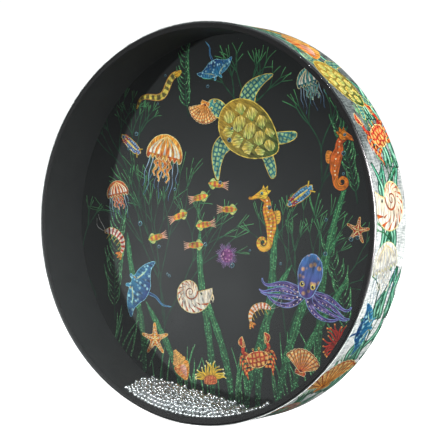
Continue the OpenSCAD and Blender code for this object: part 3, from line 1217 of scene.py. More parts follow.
@dataclass(frozen=True)
class ClearFilmFinish:
    """Clear polyester film: see-through and glossy at grazing angles. Its fold is dull, save on the right,
    where it carries a painted highlight: a milky gloss laid only where the light from the right falls."""

    ior: float = 1.5
    roughness: float = 0.06
    scuffing: float = 35.0
    gloss: float = 0.7
    tint: Colour = (0.97, 0.98, 0.985)
    # Painted highlight on the right of the fold: its strength, colour, roughness, half height and soft edge.
    painted_highlight: float = 0.3
    painted_highlight_colour: Colour = (1.0, 0.96, 0.97)
    painted_highlight_roughness: float = 0.33
    painted_highlight_reach: float = 0.075
    painted_highlight_soft: float = 0.02
    fold_from: float = 0.2008
    fold_soft: float = 0.0005
    dulled: float = 0.85
    rim_height: float = 0.2032

    def paint(self) -> bpy.types.Material:
        """Sets up the finish.

        Returns:
            The material.
        """
        recipe = Recipe(bpy.data.materials.new("clear_film"))
        place = recipe.node("TexCoord").outputs["Object"]
        scuffs = recipe.noise(place, self.scuffing, 3.0)
        clear = recipe.node("BsdfTransparent", {}, {"Color": rgba(self.tint)})
        gloss = recipe.node("BsdfGlossy", {}, {
            "Color": rgba((1, 1, 1)), "Roughness": scuffs * 0.06 + (self.roughness - 0.03)})
        split = recipe.node("SeparateXYZ", {}, {0: place})
        across, up = recipe.value(split, 0), recipe.value(split, 2) - self.rim_height
        fold = (across * across + up * up).math("SQRT").above(self.fold_from, self.fold_soft)
        # Painted highlight: the fold keeps its gloss and turns milky only on the right, in a band about the
        # drum's middle height, where the light from the right falls on it.
        beside = up.math("ABSOLUTE").above(self.painted_highlight_reach, self.painted_highlight_soft)
        painted_highlight_side = across.above(0.0, self.painted_highlight_soft) * (1.0 - beside)
        fresnel = recipe.node("Fresnel", {}, {"IOR": self.ior})
        shine = recipe.value(fresnel) * self.gloss * (1.0 - fold * (1.0 - painted_highlight_side) * self.dulled)
        film = recipe.node("MixShader", {}, {0: shine, 1: clear.outputs[0], 2: gloss.outputs[0]})
        painted_highlight = recipe.node("BsdfGlossy", {}, {
            "Color": rgba(self.painted_highlight_colour), "Roughness": self.painted_highlight_roughness})
        shader = recipe.node("MixShader", {}, {
            0: fold * painted_highlight_side * self.painted_highlight, 1: film.outputs[0], 2: painted_highlight.outputs[0]})
        return recipe.finished(shader.outputs[0])


class Print:
    """Shader sums that all printed sheets share: the inks with their marks and their brushwork."""

    def __init__(self, recipe: Recipe) -> None:
        """Reads the sheet's ink, light and marks attributes and its mark_uv map.

        Args:
            recipe: Recipe that the nodes go into.
        """
        self.recipe = recipe
        self.uv = recipe.node("UVMap", {"uv_map": "mark_uv"}).outputs[0]
        self.ink = recipe.node("Attribute", {"attribute_name": "ink"}).outputs["Color"]
        self.light = recipe.node("Attribute", {"attribute_name": "light"}).outputs["Color"]
        weights = recipe.node("Attribute", {"attribute_name": "marks"})
        split = recipe.node("SeparateColor", {}, {0: weights.outputs["Color"]})
        self.weights = [recipe.value(split, n) for n in range(3)] + [recipe.value(weights, "Alpha")]

    def marks(self) -> Value:
        """Works out where the light colour shows, from the four kinds of marks and their weights.

        Returns:
            The cover of the light colour, from 0 to 1.
        """
        recipe = self.recipe
        wobble = recipe.noise(self.uv, 1.3, 1.0)
        split = recipe.node("SeparateXYZ", {}, {0: self.uv})
        run = recipe.value(split, 0) + wobble * 0.5
        stripes = 1.0 - (run.math("FRACT") - 0.5).math("ABSOLUTE").above(0.26, 0.06)
        cells = recipe.node("TexVoronoi", {"feature": "DISTANCE_TO_EDGE"}, {
            "Vector": self.uv, "Scale": 1.0, "Randomness": 0.35})
        scales = recipe.value(cells).above(0.2, 0.12)
        spots = recipe.node("TexVoronoi", {"feature": "F1"}, {
            "Vector": self.uv, "Scale": 1.0, "Randomness": 0.9})
        dots = 1.0 - recipe.value(spots, "Distance").above(0.34, 0.1)
        strokes = recipe.noise(self.uv, 1.0, 2.0, (0.35, 2.4, 1.0)).above(0.56, 0.1)
        kinds = zip(self.weights, (stripes, scales, dots, strokes))
        first, second, third, fourth = (weight * mark for weight, mark in kinds)
        return (first + second + third + fourth).clamped()

    def painted(self, strength: float = 0.85) -> bpy.types.NodeSocket:
        """Paints the inks with their marks and with uneven brushwork.

        Args:
            strength: Cover of the marks.

        Returns:
            The colour of the print.
        """
        recipe = self.recipe
        brush = recipe.noise(self.uv, 0.9, 3.0, (0.5, 1.8, 1.0))
        colour = recipe.mixed(self.marks() * strength, self.ink, self.light)
        shade = (brush * 3.0 - 0.8).clamped() + 0.14
        tone = recipe.node("CombineColor", {}, {0: shade, 1: shade, 2: shade}).outputs[0]
        return recipe.mixed(1.0, colour, tone, "MULTIPLY")


@dataclass(frozen=True)
class PrintedFilmFinish:
    """Polyester film printed on a black ground: satin."""

    ground: Colour = (0.012, 0.0135, 0.0135)
    roughness: float = 0.33
    specular: float = 0.034

    def paint(self) -> bpy.types.Material:
        """Sets up the finish.

        Returns:
            The material.
        """
        recipe = Recipe(bpy.data.materials.new("printed_film"))
        place = recipe.node("TexCoord").outputs["Object"]
        inks = Print(recipe)
        covered = recipe.value(recipe.node("Attribute", {"attribute_name": "cover"}), "Fac")
        colour = recipe.mixed(covered, rgba(self.ground), inks.painted())
        haze = recipe.noise(place, 22.0, 3.0)
        shader = recipe.node("BsdfPrincipled", {}, {
            "Base Color": colour, "Roughness": haze * 0.08 + (self.roughness - 0.04),
            "Specular IOR Level": self.specular})
        return recipe.finished(shader.outputs[0])


@dataclass(frozen=True)
class WrapFinish:
    """Printed sheet with a cross-hatched ground like cloth: satin, with a fine weave."""

    pale: tuple[Colour, Colour] = ((0.95, 0.97, 0.94), (0.34, 0.4, 0.4))
    dark: tuple[Colour, Colour] = ((0.16, 0.185, 0.18), (0.014, 0.019, 0.02))
    depth: Colour = (0.85, 0.85, 0.85)
    roughness: float = 0.5
    specular: float = 0.2
    relief: float = 0.00005
    lap: float = 640.0
    darkest: float = 190.0
    marked: float = 0.8

    def paint(self) -> bpy.types.Material:
        """Sets up the finish.

        Returns:
            The material.
        """
        recipe = Recipe(bpy.data.materials.new("printed_wrap"))
        uv = recipe.node("UVMap", {"uv_map": "sheet_uv"}).outputs[0]
        inks = Print(recipe)
        across = recipe.noise(uv, 1.0, 2.0, (0.1, 0.75, 1.0))
        along = recipe.noise(uv, 1.0, 2.0, (0.6, 0.1, 1.0))
        specks = (across.above(0.52, 0.06) + along.above(0.53, 0.06)) * 0.5
        split = recipe.node("SeparateXYZ", {}, {0: uv})
        # The ground is darker in broad bands round the drum: a cosine along the sheet, darkest 190 mm up
        # from the drum's right-hand side and again every 640 mm.
        band_wave = ((recipe.value(split, 1) - self.darkest) * (math.tau / self.lap)).math("COSINE")
        darker_share = (band_wave * 0.5 + recipe.noise(uv, 0.03, 3.0)).above(0.5, 0.3)
        light = recipe.mixed(darker_share, rgba(self.pale[0]), rgba(self.dark[0]))
        shade = recipe.mixed(darker_share, rgba(self.pale[1]), rgba(self.dark[1]))
        ground = recipe.mixed(specks, light, shade)
        covered = recipe.value(recipe.node("Attribute", {"attribute_name": "cover"}), "Fac")
        picture = recipe.mixed(1.0, inks.painted(self.marked), rgba(self.depth), "MULTIPLY")
        colour = recipe.mixed(covered, ground, picture)
        shader = recipe.node("BsdfPrincipled", {}, {
            "Base Color": colour, "Roughness": self.roughness, "Specular IOR Level": self.specular,
            "Normal": recipe.bump(specks, 0.2, self.relief)})
        return recipe.finished(shader.outputs[0])


@dataclass(frozen=True)
class SteelFinish:
    """Bright plated steel of the shot."""

    colour: Colour = (0.9, 0.93, 0.93)
    roughness: float = 0.2
    metal: float = 0.88
    tarnish: float = 260.0

    def paint(self) -> bpy.types.Material:
        """Sets up the finish.

        Returns:
            The material.
        """
        recipe = Recipe(bpy.data.materials.new("plated_steel"))
        place = recipe.node("TexCoord").outputs["Object"]
        dull = recipe.noise(place, self.tarnish, 1.0)
        shade = dull * 0.25 + 0.72
        tone = recipe.node("CombineColor", {}, {0: shade, 1: shade, 2: shade}).outputs[0]
        shader = recipe.node("BsdfPrincipled", {}, {
            "Base Color": recipe.mixed(1.0, rgba(self.colour), tone, "MULTIPLY"), "Metallic": self.metal,
            "Roughness": dull * 0.12 + (self.roughness - 0.06)})
        return recipe.finished(shader.outputs[0])


@dataclass(frozen=True)
class DrumSizes:
    """Sizes of the drum, in metres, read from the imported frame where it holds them."""

    rim_radius: float
    shell_radius: float
    inner_radius: float
    half_depth: float
    film_out: float
    collar_end: float
    wrap_half: float
    ball_radius: float
    film: float = 0.25 * MM
    glue: float = 0.1 * MM
    wrap: float = 0.6 * MM
    outer_round: float = 1.6 * MM
    inner_round: float = 1.0 * MM
    rounds: int = 288

    @classmethod
    def from_frame(cls) -> "DrumSizes":
        """Reads the sizes from the boxes of the CAD nodes.

        Returns:
            The sizes.
        """
        wrap_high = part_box("wrap")[1]
        shell_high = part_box("shell")[1]
        head_low, head_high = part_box("front_head")
        ball_low, ball_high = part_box("rim_ball_1")
        points = vertices_of(frame["nodes"]["shell"])
        reach = np.hypot(points[:, 0], points[:, 2] - wrap_high.x)
        return cls(rim_radius=wrap_high.x, shell_radius=shell_high.x, inner_radius=float(reach.min()),
                   half_depth=shell_high.y, film_out=-head_low.y, collar_end=-head_high.y,
                   wrap_half=wrap_high.y, ball_radius=(ball_high.z - ball_low.z) / 2)

    @property
    def centre(self) -> Vector:
        """Middle of the drum."""
        return Vector((0, 0, self.rim_radius))


def vertices_of(piece: bpy.types.Object) -> np.ndarray:
    """Reads the places of a mesh object's vertices.

    Args:
        piece: The object.

    Returns:
        Their places, one row each.
    """
    flat = np.empty(len(piece.data.vertices) * 3)
    piece.data.vertices.foreach_get("co", flat)
    return flat.reshape(-1, 3)


def finished_piece(name: str, bm: bmesh.types.BMesh, body: str, material: bpy.types.Material,
                   nodes: Sequence[str], sharp: float = 40.0) -> bpy.types.Object:
    """Makes a piece from a bmesh, dresses it and hands it to the frame.

    Args:
        name: Name of the piece.
        bm: Its mesh, which is freed.
        body: CAD body that it moves with.
        material: Its finish.
        nodes: CAD nodes that it stands for.
        sharp: Angle past which an edge stays sharp, in degrees.

    Returns:
        The piece's object.
    """
    mesh = bpy.data.meshes.new(name)
    bm.to_mesh(mesh)
    bm.free()
    mesh.polygons.foreach_set("use_smooth", [True] * len(mesh.polygons))
    mesh.set_sharp_from_angle(angle=math.radians(sharp))
    mesh.materials.append(material)
    piece = bpy.data.objects.new(name, mesh)
    bpy.context.scene.collection.objects.link(piece)
    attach(piece, body)
    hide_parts(*nodes)
    LOG.info("%s: %d faces, stands for %s", name, len(mesh.polygons), ", ".join(nodes))
    return piece


@dataclass
class Turned:
    """A round part that is turned from its section about the drum's axis."""

    sizes: DrumSizes

    def section(self, bm: bmesh.types.BMesh, corners: Sequence[tuple[float, float]],
                rounds: dict[int, float]) -> bmesh.types.BMFace:
        """Adds a closed section.

        Args:
            bm: The mesh that it goes into.
            corners: Distance from the axis and place along it, for each corner.
            rounds: Radius of the round on a corner, by its number.

        Returns:
            The section's face.
        """
        points = [bm.verts.new((radius, along, self.sizes.rim_radius)) for radius, along in corners]
        bm.faces.new(points)
        bm.normal_update()
        for number, radius in rounds.items():
            bmesh.ops.bevel(bm, geom=[points[number]], offset=radius, offset_type="OFFSET", segments=6,
                            profile=0.5, affect="VERTICES", material=-1)
        kept = next(point for number, point in enumerate(points) if number not in rounds)
        return kept.link_faces[0]

    def turn(self, bm: bmesh.types.BMesh, edges: Sequence[bmesh.types.BMEdge]) -> None:
        """Turns edges once round the drum's axis.

        Args:
            bm: The mesh that they are in.
            edges: The edges, which become rings of faces.
        """
        points = dict.fromkeys(v for e in edges for v in e.verts)
        bmesh.ops.spin(bm, geom=[*points, *edges], cent=self.sizes.centre, axis=(0, 1, 0),
                       angle=math.tau, steps=self.sizes.rounds, use_merge=True, use_duplicate=False)


@dataclass
class FibreShell(Turned):
    """The black fibre hoop, with rounded bearing edges and a shallow step for each collar."""

    finish: FibreFinish = FibreFinish()

    def build(self) -> bpy.types.Object:
        """Makes the hoop.

        Returns:
            The piece's object.
        """
        s = self.sizes
        step = s.shell_radius - s.film - s.glue
        end, edge = s.collar_end, s.half_depth
        corners = [(s.inner_radius, -edge), (step, -edge), (step, -end), (s.shell_radius, -end),
                   (s.shell_radius, end), (step, end), (step, edge), (s.inner_radius, edge)]
        bm = bmesh.new()
        rounds = {0: s.inner_round, 1: s.outer_round, 6: s.outer_round, 7: s.inner_round}
        face = self.section(bm, corners, rounds)
        edges = list(face.edges)
        bmesh.ops.delete(bm, geom=[face], context="FACES_ONLY")
        self.turn(bm, edges)
        bmesh.ops.recalc_face_normals(bm, faces=bm.faces)
        return finished_piece("fibre_shell", bm, "drum", self.finish.paint(), ["shell"], 60.0)


@dataclass
class FilmHead(Turned):
    """A stretched film: a flat disc, a fold over the bearing edge and a collar."""

    side: int = -1
    flat_margin: float = 3.4 * MM

    def fold(self) -> bmesh.types.BMesh:
        """Turns the fold and the collar, open towards the middle of the disc.

        Returns:
            Its mesh.
        """
        s = self.sizes
        bm = bmesh.new()
        flat = s.shell_radius - self.flat_margin
        out, inside = self.side * s.film_out, self.side * (s.film_out - s.film)
        end = self.side * s.collar_end
        corners = [(flat, inside), (flat, out), (s.shell_radius, out), (s.shell_radius, end),
                   (s.shell_radius - s.film, end), (s.shell_radius - s.film, inside)]
        outer = s.outer_round + s.glue + s.film
        face = self.section(bm, corners, {2: outer, 5: outer - s.film})
        open_edge = next(e for e in face.edges if all(abs(v.co.x - flat) < 1e-7 for v in e.verts))
        edges = [e for e in face.edges if e is not open_edge]
        bmesh.ops.delete(bm, geom=[face], context="FACES_ONLY")
        bmesh.ops.delete(bm, geom=[open_edge], context="EDGES")
        self.turn(bm, [e for e in edges if e.is_valid])
        return bm


@dataclass
class ClearHead(FilmHead):
    """The clear front head."""

    finish: ClearFilmFinish = ClearFilmFinish()

    def build(self) -> bpy.types.Object:
        """Makes the clear head, whose disc is plain.

        Returns:
            The piece's object.
        """
        bm = self.fold()
        open_edges = [e for e in bm.edges if e.is_boundary]
        bmesh.ops.holes_fill(bm, edges=open_edges, sides=0)
        bmesh.ops.recalc_face_normals(bm, faces=bm.faces)
        return finished_piece("clear_head", bm, "drum", self.finish.paint(), ["front_head"])


@dataclass
class PrintedSheet:
    """A flat sheet with its print cut into one triangulation, so that the picture is part of it."""

    outline: Line
    shapes: list[Shape]
    cuts: list[Line] = field(default_factory=list)
    mark_scale: float = 1.5
    mark_step: float = 7.3

    def __post_init__(self) -> None:
        """Thins the shapes out, which keeps the number of triangles down."""
        self.shapes = [thinned(shape) for shape in self.shapes]

    def triangles(self) -> tuple[np.ndarray, np.ndarray, np.ndarray]:
        """Cuts the sheet along its shapes.

        Returns:
            The points, the triangles and the number of the shape on top of each, or -1.
        """
        points: list[complex] = list(self.outline)
        face = list(range(len(points)))
        lines: list[tuple[int, int]] = []
        for run in [*(shape.outline for shape in self.shapes), *self.cuts]:
            first, count = len(points), len(run)
            points.extend(run)
            lines.extend((first + n, first + (n + 1) % count) for n in range(count if count > 2 else 1))
        inside_only, same_point = 1, 1e-3
        given = [Vector((p.real, p.imag)) for p in points]
        made = delaunay_2d_cdt(given, lines, [face], inside_only, same_point)
        places = np.array([complex(v.x, v.y) for v in made[0]])
        corners = np.array(made[2])
        middles = places[corners].mean(axis=1)
        top = np.full(len(corners), -1)
        for number, shape in enumerate(self.shapes):
            top[shape.covers(middles)] = number
        return places, corners, top

    def mesh(self, name: str, place: Callable[[Line], np.ndarray]) -> bpy.types.Mesh:
        """Makes the sheet's mesh with the attributes that its finish reads.

        Args:
            name: Name of the mesh.
            place: Function from points on the sheet to places in the frame.

        Returns:
            The mesh.
        """
        points, corners, top = self.triangles()
        mesh = bpy.data.meshes.new(name)
        mesh.from_pydata(place(points).tolist(), [], corners.tolist())
        loops = corners.ravel()
        owner = np.repeat(top, 3)
        colours = {key: np.zeros((len(loops), 4)) for key in ("ink", "light", "marks")}
        uv = np.zeros((len(loops), 2))
        for number, shape in enumerate(self.shapes):
            mine = np.flatnonzero(owner == number)
            if len(mine) == 0:
                continue
            run, off, share = along(points[loops[mine]], shape.axis)
            ink = shape.ink
            colours["ink"][mine, :3] = np.outer(1 - share, ink.near) + np.outer(share, ink.far)
            colours["light"][mine, :3] = ink.light
            colours["marks"][mine] = ink.marks.value
            uv[mine] = np.column_stack([run, off]) / (self.mark_scale * ink.pitch) + number * self.mark_step
        for key, values in colours.items():
            layer = mesh.attributes.new(key, "FLOAT_COLOR", "CORNER")
            layer.data.foreach_set("color", values.ravel())
        cover = mesh.attributes.new("cover", "FLOAT", "FACE")
        cover.data.foreach_set("value", (top >= 0).astype(float))
        mesh.uv_layers.new(name="mark_uv").data.foreach_set("uv", uv.ravel())
        flat = np.column_stack([points[loops].real, points[loops].imag])
        mesh.uv_layers.new(name="sheet_uv").data.foreach_set("uv", flat.ravel())
        LOG.info("%s: %d shapes in %d triangles", name, len(self.shapes), len(corners))
        return mesh


def along(points: Line, axis: Line) -> tuple[np.ndarray, np.ndarray, np.ndarray]:
    """Measures points along a line.

    Args:
        points: The points.
        axis: The line, of two points or more.

    Returns:
        For each point its distance along the line, its distance to the left of it and its share of
        the line's length.
    """
    spans = np.diff(axis)
    lengths = np.maximum(np.abs(spans), 1e-9)
    starts = np.concatenate([[0], np.cumsum(lengths)])
    offset = (points[:, None] - axis[None, :-1]) * np.conj(spans / lengths)
    run = offset.real if len(spans) == 1 else np.clip(offset.real, 0, lengths)
    nearest = np.abs(offset - run).argmin(axis=1)
    row = np.arange(len(points))
    distance = starts[nearest] + run[row, nearest]
    return distance, offset.imag[row, nearest], np.clip(distance / starts[-1], 0, 1)


@dataclass
class PrintedHead(FilmHead):
    """The printed back head, with its picture on both faces."""

    finish: PrintedFilmFinish = PrintedFilmFinish()
    side: int = 1
    margin: float = 1.0

    def build(self) -> bpy.types.Object:
        """Makes the printed head.

        Returns:
            The piece's object.
        """
        s = self.sizes
        flat = (s.shell_radius - self.flat_margin) / MM
        angle = np.arange(s.rounds) * math.tau / s.rounds
        inside = flat - self.margin
        shapes = []
        for shape in Reef().shapes:
            drawn_in = np.minimum(1, inside / np.maximum(np.abs(shape.outline), 1))
            shapes.append(replace(shape, outline=shape.outline * drawn_in))

        def laid(points: Line) -> np.ndarray:
            """Lays points of the picture on the outer face of the film."""
            out = np.full(len(points), s.film_out)
            return np.column_stack([points.real * MM, out, points.imag * MM + s.rim_radius])

        mesh = PrintedSheet(flat * np.exp(1j * angle), shapes).mesh("printed_disc", laid)
        bm = self.fold()
        bm.from_mesh(mesh)
        mesh.transform(Matrix.Translation((0, -s.film, 0)))
        bm.from_mesh(mesh)
        bmesh.ops.remove_doubles(bm, verts=bm.verts, dist=MERGED)
        bmesh.ops.recalc_face_normals(bm, faces=bm.faces)
        return finished_piece("printed_head", bm, "drum", self.finish.paint(), ["back_head"])


@dataclass
class PrintedWrap:
    """The printed sheet glued once round the shell, with an open seam."""

    sizes: DrumSizes
    finish: WrapFinish = WrapFinish()
    seam_degrees: float = 142.0
    seam: float = 0.4
    margin: float = 0.25
    cuts: int = 288

    def build(self) -> bpy.types.Object:
        """Makes the wrap flat and bends it round the shell.

        Returns:
            The piece's object.
        """
        s = self.sizes
        radius = s.rim_radius / MM
        half = s.wrap_half / MM
        top = math.radians(self.seam_degrees) * radius - self.seam / 2
        bottom = top - math.tau * radius + self.seam
        outline = np.array([-half + 1j * bottom, half + 1j * bottom, half + 1j * top, -half + 1j * top])
        steps = np.linspace(bottom, top, self.cuts)[1:-1]
        lines = [np.array([complex(-half, at), complex(half, at)]) for at in steps]
        shapes = []
        for shape in Shore(bottom, top).shapes:
            across = np.clip(shape.outline.real, self.margin - half, half - self.margin)
            up = np.clip(shape.outline.imag, bottom + self.margin, top - self.margin)
            shapes.append(replace(shape, outline=across + 1j * up))
        sheet = PrintedSheet(outline, shapes, lines)

        def bent(points: Line) -> np.ndarray:
            """Bends points of the flat sheet round the shell.

            Args:
                points: Points on the sheet, in millimetres.

            Returns:
                Their places in the frame.
            """
            turn = points.imag / radius
            up = s.rim_radius * (1 + np.sin(turn))
            return np.column_stack([s.rim_radius * np.cos(turn), points.real * MM, up])

        bm = bmesh.new()
        bm.from_mesh(sheet.mesh("wrap_sheet", bent))
        bmesh.ops.remove_doubles(bm, verts=bm.verts, dist=MERGED)
        self.back(bm)
        piece = finished_piece("printed_wrap", bm, "drum", self.finish.paint(), ["wrap"])
        (top - bottom) * MM
        return piece

    def back(self, bm: bmesh.types.BMesh) -> None:
        """Closes the sheet with its plain back, which lies against the shell.

        Args:
            bm: The sheet's mesh.
        """
        s = self.sizes
        made = bmesh.ops.extrude_edge_only(bm, edges=[e for e in bm.edges if e.is_boundary])["geom"]
        inner = [v for v in made if isinstance(v, bmesh.types.BMVert)]
        axis = Matrix.Translation(-s.centre)
        share = (s.rim_radius - s.wrap) / s.rim_radius
        bmesh.ops.scale(bm, vec=(share, 1, share), space=axis, verts=inner)
        half = s.wrap_half - 0.01 * MM
        edges = [e for e in made if isinstance(e, bmesh.types.BMEdge) and e.is_boundary]
        rims = [e for e in edges if min(abs(v.co.y) for v in e.verts) > half
                and e.verts[0].co.y * e.verts[1].co.y > 0]
        bmesh.ops.bridge_loops(bm, edges=rims)
        bmesh.ops.recalc_face_normals(bm, faces=bm.faces)


@dataclass
class SteelShot:
    """The loose steel balls, heaped up to the left as if the drum had just been tilted that way.

    The pile is settled from the CAD's own rows. It is then shared out between its three parts by
    the angle round the drum, so that they roll apart freely.
    """

    sizes: DrumSizes
    finish: SteelFinish = SteelFinish()
    turn: float = -5.0
    spread: float = 12.0
    tail: tuple[float, float] = (6.0, 18.0)
    pull: tuple[float, float, float] = (-0.3, 0.2, -1.0)
    shake: float = 1.3 * MM
    fall: float = 0.18 * MM
    steps: int = 320
    resting_from: float = 0.7065
    passes: int = 4
    yielding: float = 0.4
    looked_every: int = 10
    looked_round: float = 1.5 * MM
    seed: int = 5

    def centres(self, node: str) -> np.ndarray:
        """Finds the balls of a node, whose vertices follow each other in its mesh.

        No edge runs from one ball to the next, which tells how many vertices each of them has.

        Args:
            node: Name of the CAD node.

        Returns:
            The middles of its balls, one row each.
        """
        mesh = frame["nodes"][node].data
        ends = np.empty(len(mesh.edges) * 2, int)
        mesh.edges.foreach_get("vertices", ends)
        first, last = np.sort(ends.reshape(-1, 2)).T
        crossing = np.cumsum(np.bincount(first, minlength=len(mesh.vertices)) - np.bincount(last))
        each = int(np.flatnonzero(crossing == 0)[0]) + 1
        balls = vertices_of(frame["nodes"][node]).reshape(-1, each, 3)
        low, high = balls.min(axis=1), balls.max(axis=1)
        if not np.allclose(high - low, 2 * self.sizes.ball_radius, atol=0.1 * MM):
            raise ValueError(f"the balls of {node} aren't one after the other in its mesh")
        return (low + high) / 2

    def turned(self, places: np.ndarray) -> np.ndarray:
        """Rolls the pile up the left wall and draws out its right-hand end.

        Args:
            places: Middles of the pile's balls, from the drum's middle.

        Returns:
            Their new middles.
        """
        angle = np.degrees(np.arctan2(places[:, 0], -places[:, 2])) + self.turn
        reach = np.hypot(places[:, 0], places[:, 2])
        share = np.clip((angle - self.tail[0]) / (self.tail[1] - self.tail[0]), 0, 1)
        strewn = self.spread * share * np.random.default_rng(self.seed).random(len(places))
        angle = np.radians(angle + strewn)
        return np.column_stack([reach * np.sin(angle), places[:, 1], -reach * np.cos(angle)])

    def settled(self, places: np.ndarray, fixed: np.ndarray) -> np.ndarray:
        """Shakes the pile and lets it settle between the heads and the shell.

        Args:
            places: Middles of the pile's balls, from the drum's middle.
            fixed: Middles of the balls that stay where they are.

        Returns:
            The new middles of the pile's balls.
        """
        s = self.sizes
        count = len(places)
        at = np.concatenate([places, fixed])
        at[:count] += np.random.default_rng(self.seed).normal(0, self.shake, (count, 3))
        apart = 2 * s.ball_radius
        ring = s.inner_radius - s.ball_radius
        depth = s.film_out - s.film - s.ball_radius
        pull = np.array(self.pull) / np.linalg.norm(self.pull)
        for step in range(self.steps):
            if step % self.looked_every == 0:
                first, second = self.pairs(at, apart + self.looked_round)
            at[:count] += pull * self.fall * max(0.0, 1 - step / self.steps / self.resting_from)
            for _ in range(self.passes):
                away = at[first] - at[second]
                distance = np.maximum(np.linalg.norm(away, axis=1), 1e-9)
                push = np.maximum(apart - distance, 0)[:, None] * away / distance[:, None] * self.yielding
                move = np.zeros_like(at)
                np.add.at(move, first, push)
                np.add.at(move, second, -push)
                at[:count] += move[:count]
                shrink = np.minimum(1.0, ring / np.hypot(at[:count, 0], at[:count, 2]))
                at[:count, 0] *= shrink
                at[:count, 2] *= shrink
                at[:count, 1] = np.clip(at[:count, 1], -depth, depth)
        return at[:count]

    @staticmethod
    def pairs(at: np.ndarray, reach: float) -> tuple[np.ndarray, np.ndarray]:
        """Returns the numbers of each two balls that are within reach of each other."""
        near = np.linalg.norm(at[:, None] - at[None], axis=2) < reach
        return np.nonzero(np.triu(near, 1))

    def dropped(self, ball: np.ndarray, pile: np.ndarray) -> np.ndarray:
        """Moves a ball straight up or down until it rests on top of the pile.

        Args:
            ball: Its middle, from the drum's middle.
            pile: Middles of the pile's balls.

        Returns:
            Its new middle.
        """
        side = np.hypot(*(pile - ball)[:, :2].T)
        under = side < 2 * self.sizes.ball_radius
        rise = np.sqrt((2 * self.sizes.ball_radius) ** 2 - side[under] ** 2)
        return np.array([ball[0], ball[1], (pile[under, 2] + rise).max()])

    def balls(self, name: str, body: str, places: np.ndarray, nodes: Sequence[str], rings: int = 1) -> None:
        """Makes one piece of a number of balls.

        Args:
            name: Name of the piece.
            body: CAD body that it moves with.
            places: Middles of the balls, from the drum's middle.
            nodes: CAD nodes that it stands for.
            rings: How often each ball's faces are divided.
        """
        pattern = bmesh.new()
        bmesh.ops.create_icosphere(pattern, subdivisions=rings + 1, radius=self.sizes.ball_radius)
        bm = bmesh.new()
        chance = random.Random(self.seed)
        for place in places:
            turn = chance.uniform(0, math.tau)
            spin = Matrix.Rotation(turn, 4, Vector((chance.random(), chance.random(), 1)))
            ball = bpy.data.meshes.new("ball")
            pattern.to_mesh(ball)
            ball.transform(Matrix.Translation(self.sizes.centre + Vector(place)) @ spin)
            bm.from_mesh(ball)
            bpy.data.meshes.remove(ball)
        pattern.free()
        finished_piece(name, bm, body, self.material, nodes, 180.0)

    def build(self) -> None:
        """Makes the three parts of the pile and the single balls."""
        self.material = self.finish.paint()
        middle = np.array(self.sizes.centre)
        parts = {body: [n for n in frame["nodes"] if n.startswith(body + "_") and "ball" not in n]
                 for body in ("shot_left", "shot_middle", "shot_right")}
        found = {body: np.concatenate([self.centres(n) for n in names]) - middle
                 for body, names in parts.items()}
        single = {n: self.centres(n)[0] - middle for n in frame["nodes"] if "_ball_" in n}
        rim = np.array([place for n, place in single.items() if n.startswith("rim")])
        pile = self.settled(self.turned(np.concatenate(list(found.values()))), rim)
        pile = pile[np.argsort(np.arctan2(pile[:, 0], -pile[:, 2]))]
        start = 0
        for part, names in parts.items():
            end = start + len(found[part])
            self.balls("steel_" + part, part.replace("shot_middle", "shot"), pile[start:end], names)
            start = end
        for node, place in single.items():
            if node.startswith("loose"):
                place = self.dropped(place, pile)
                pile = np.concatenate([pile, [place]])
            self.balls("steel_" + node, node, [place], [node], 2)


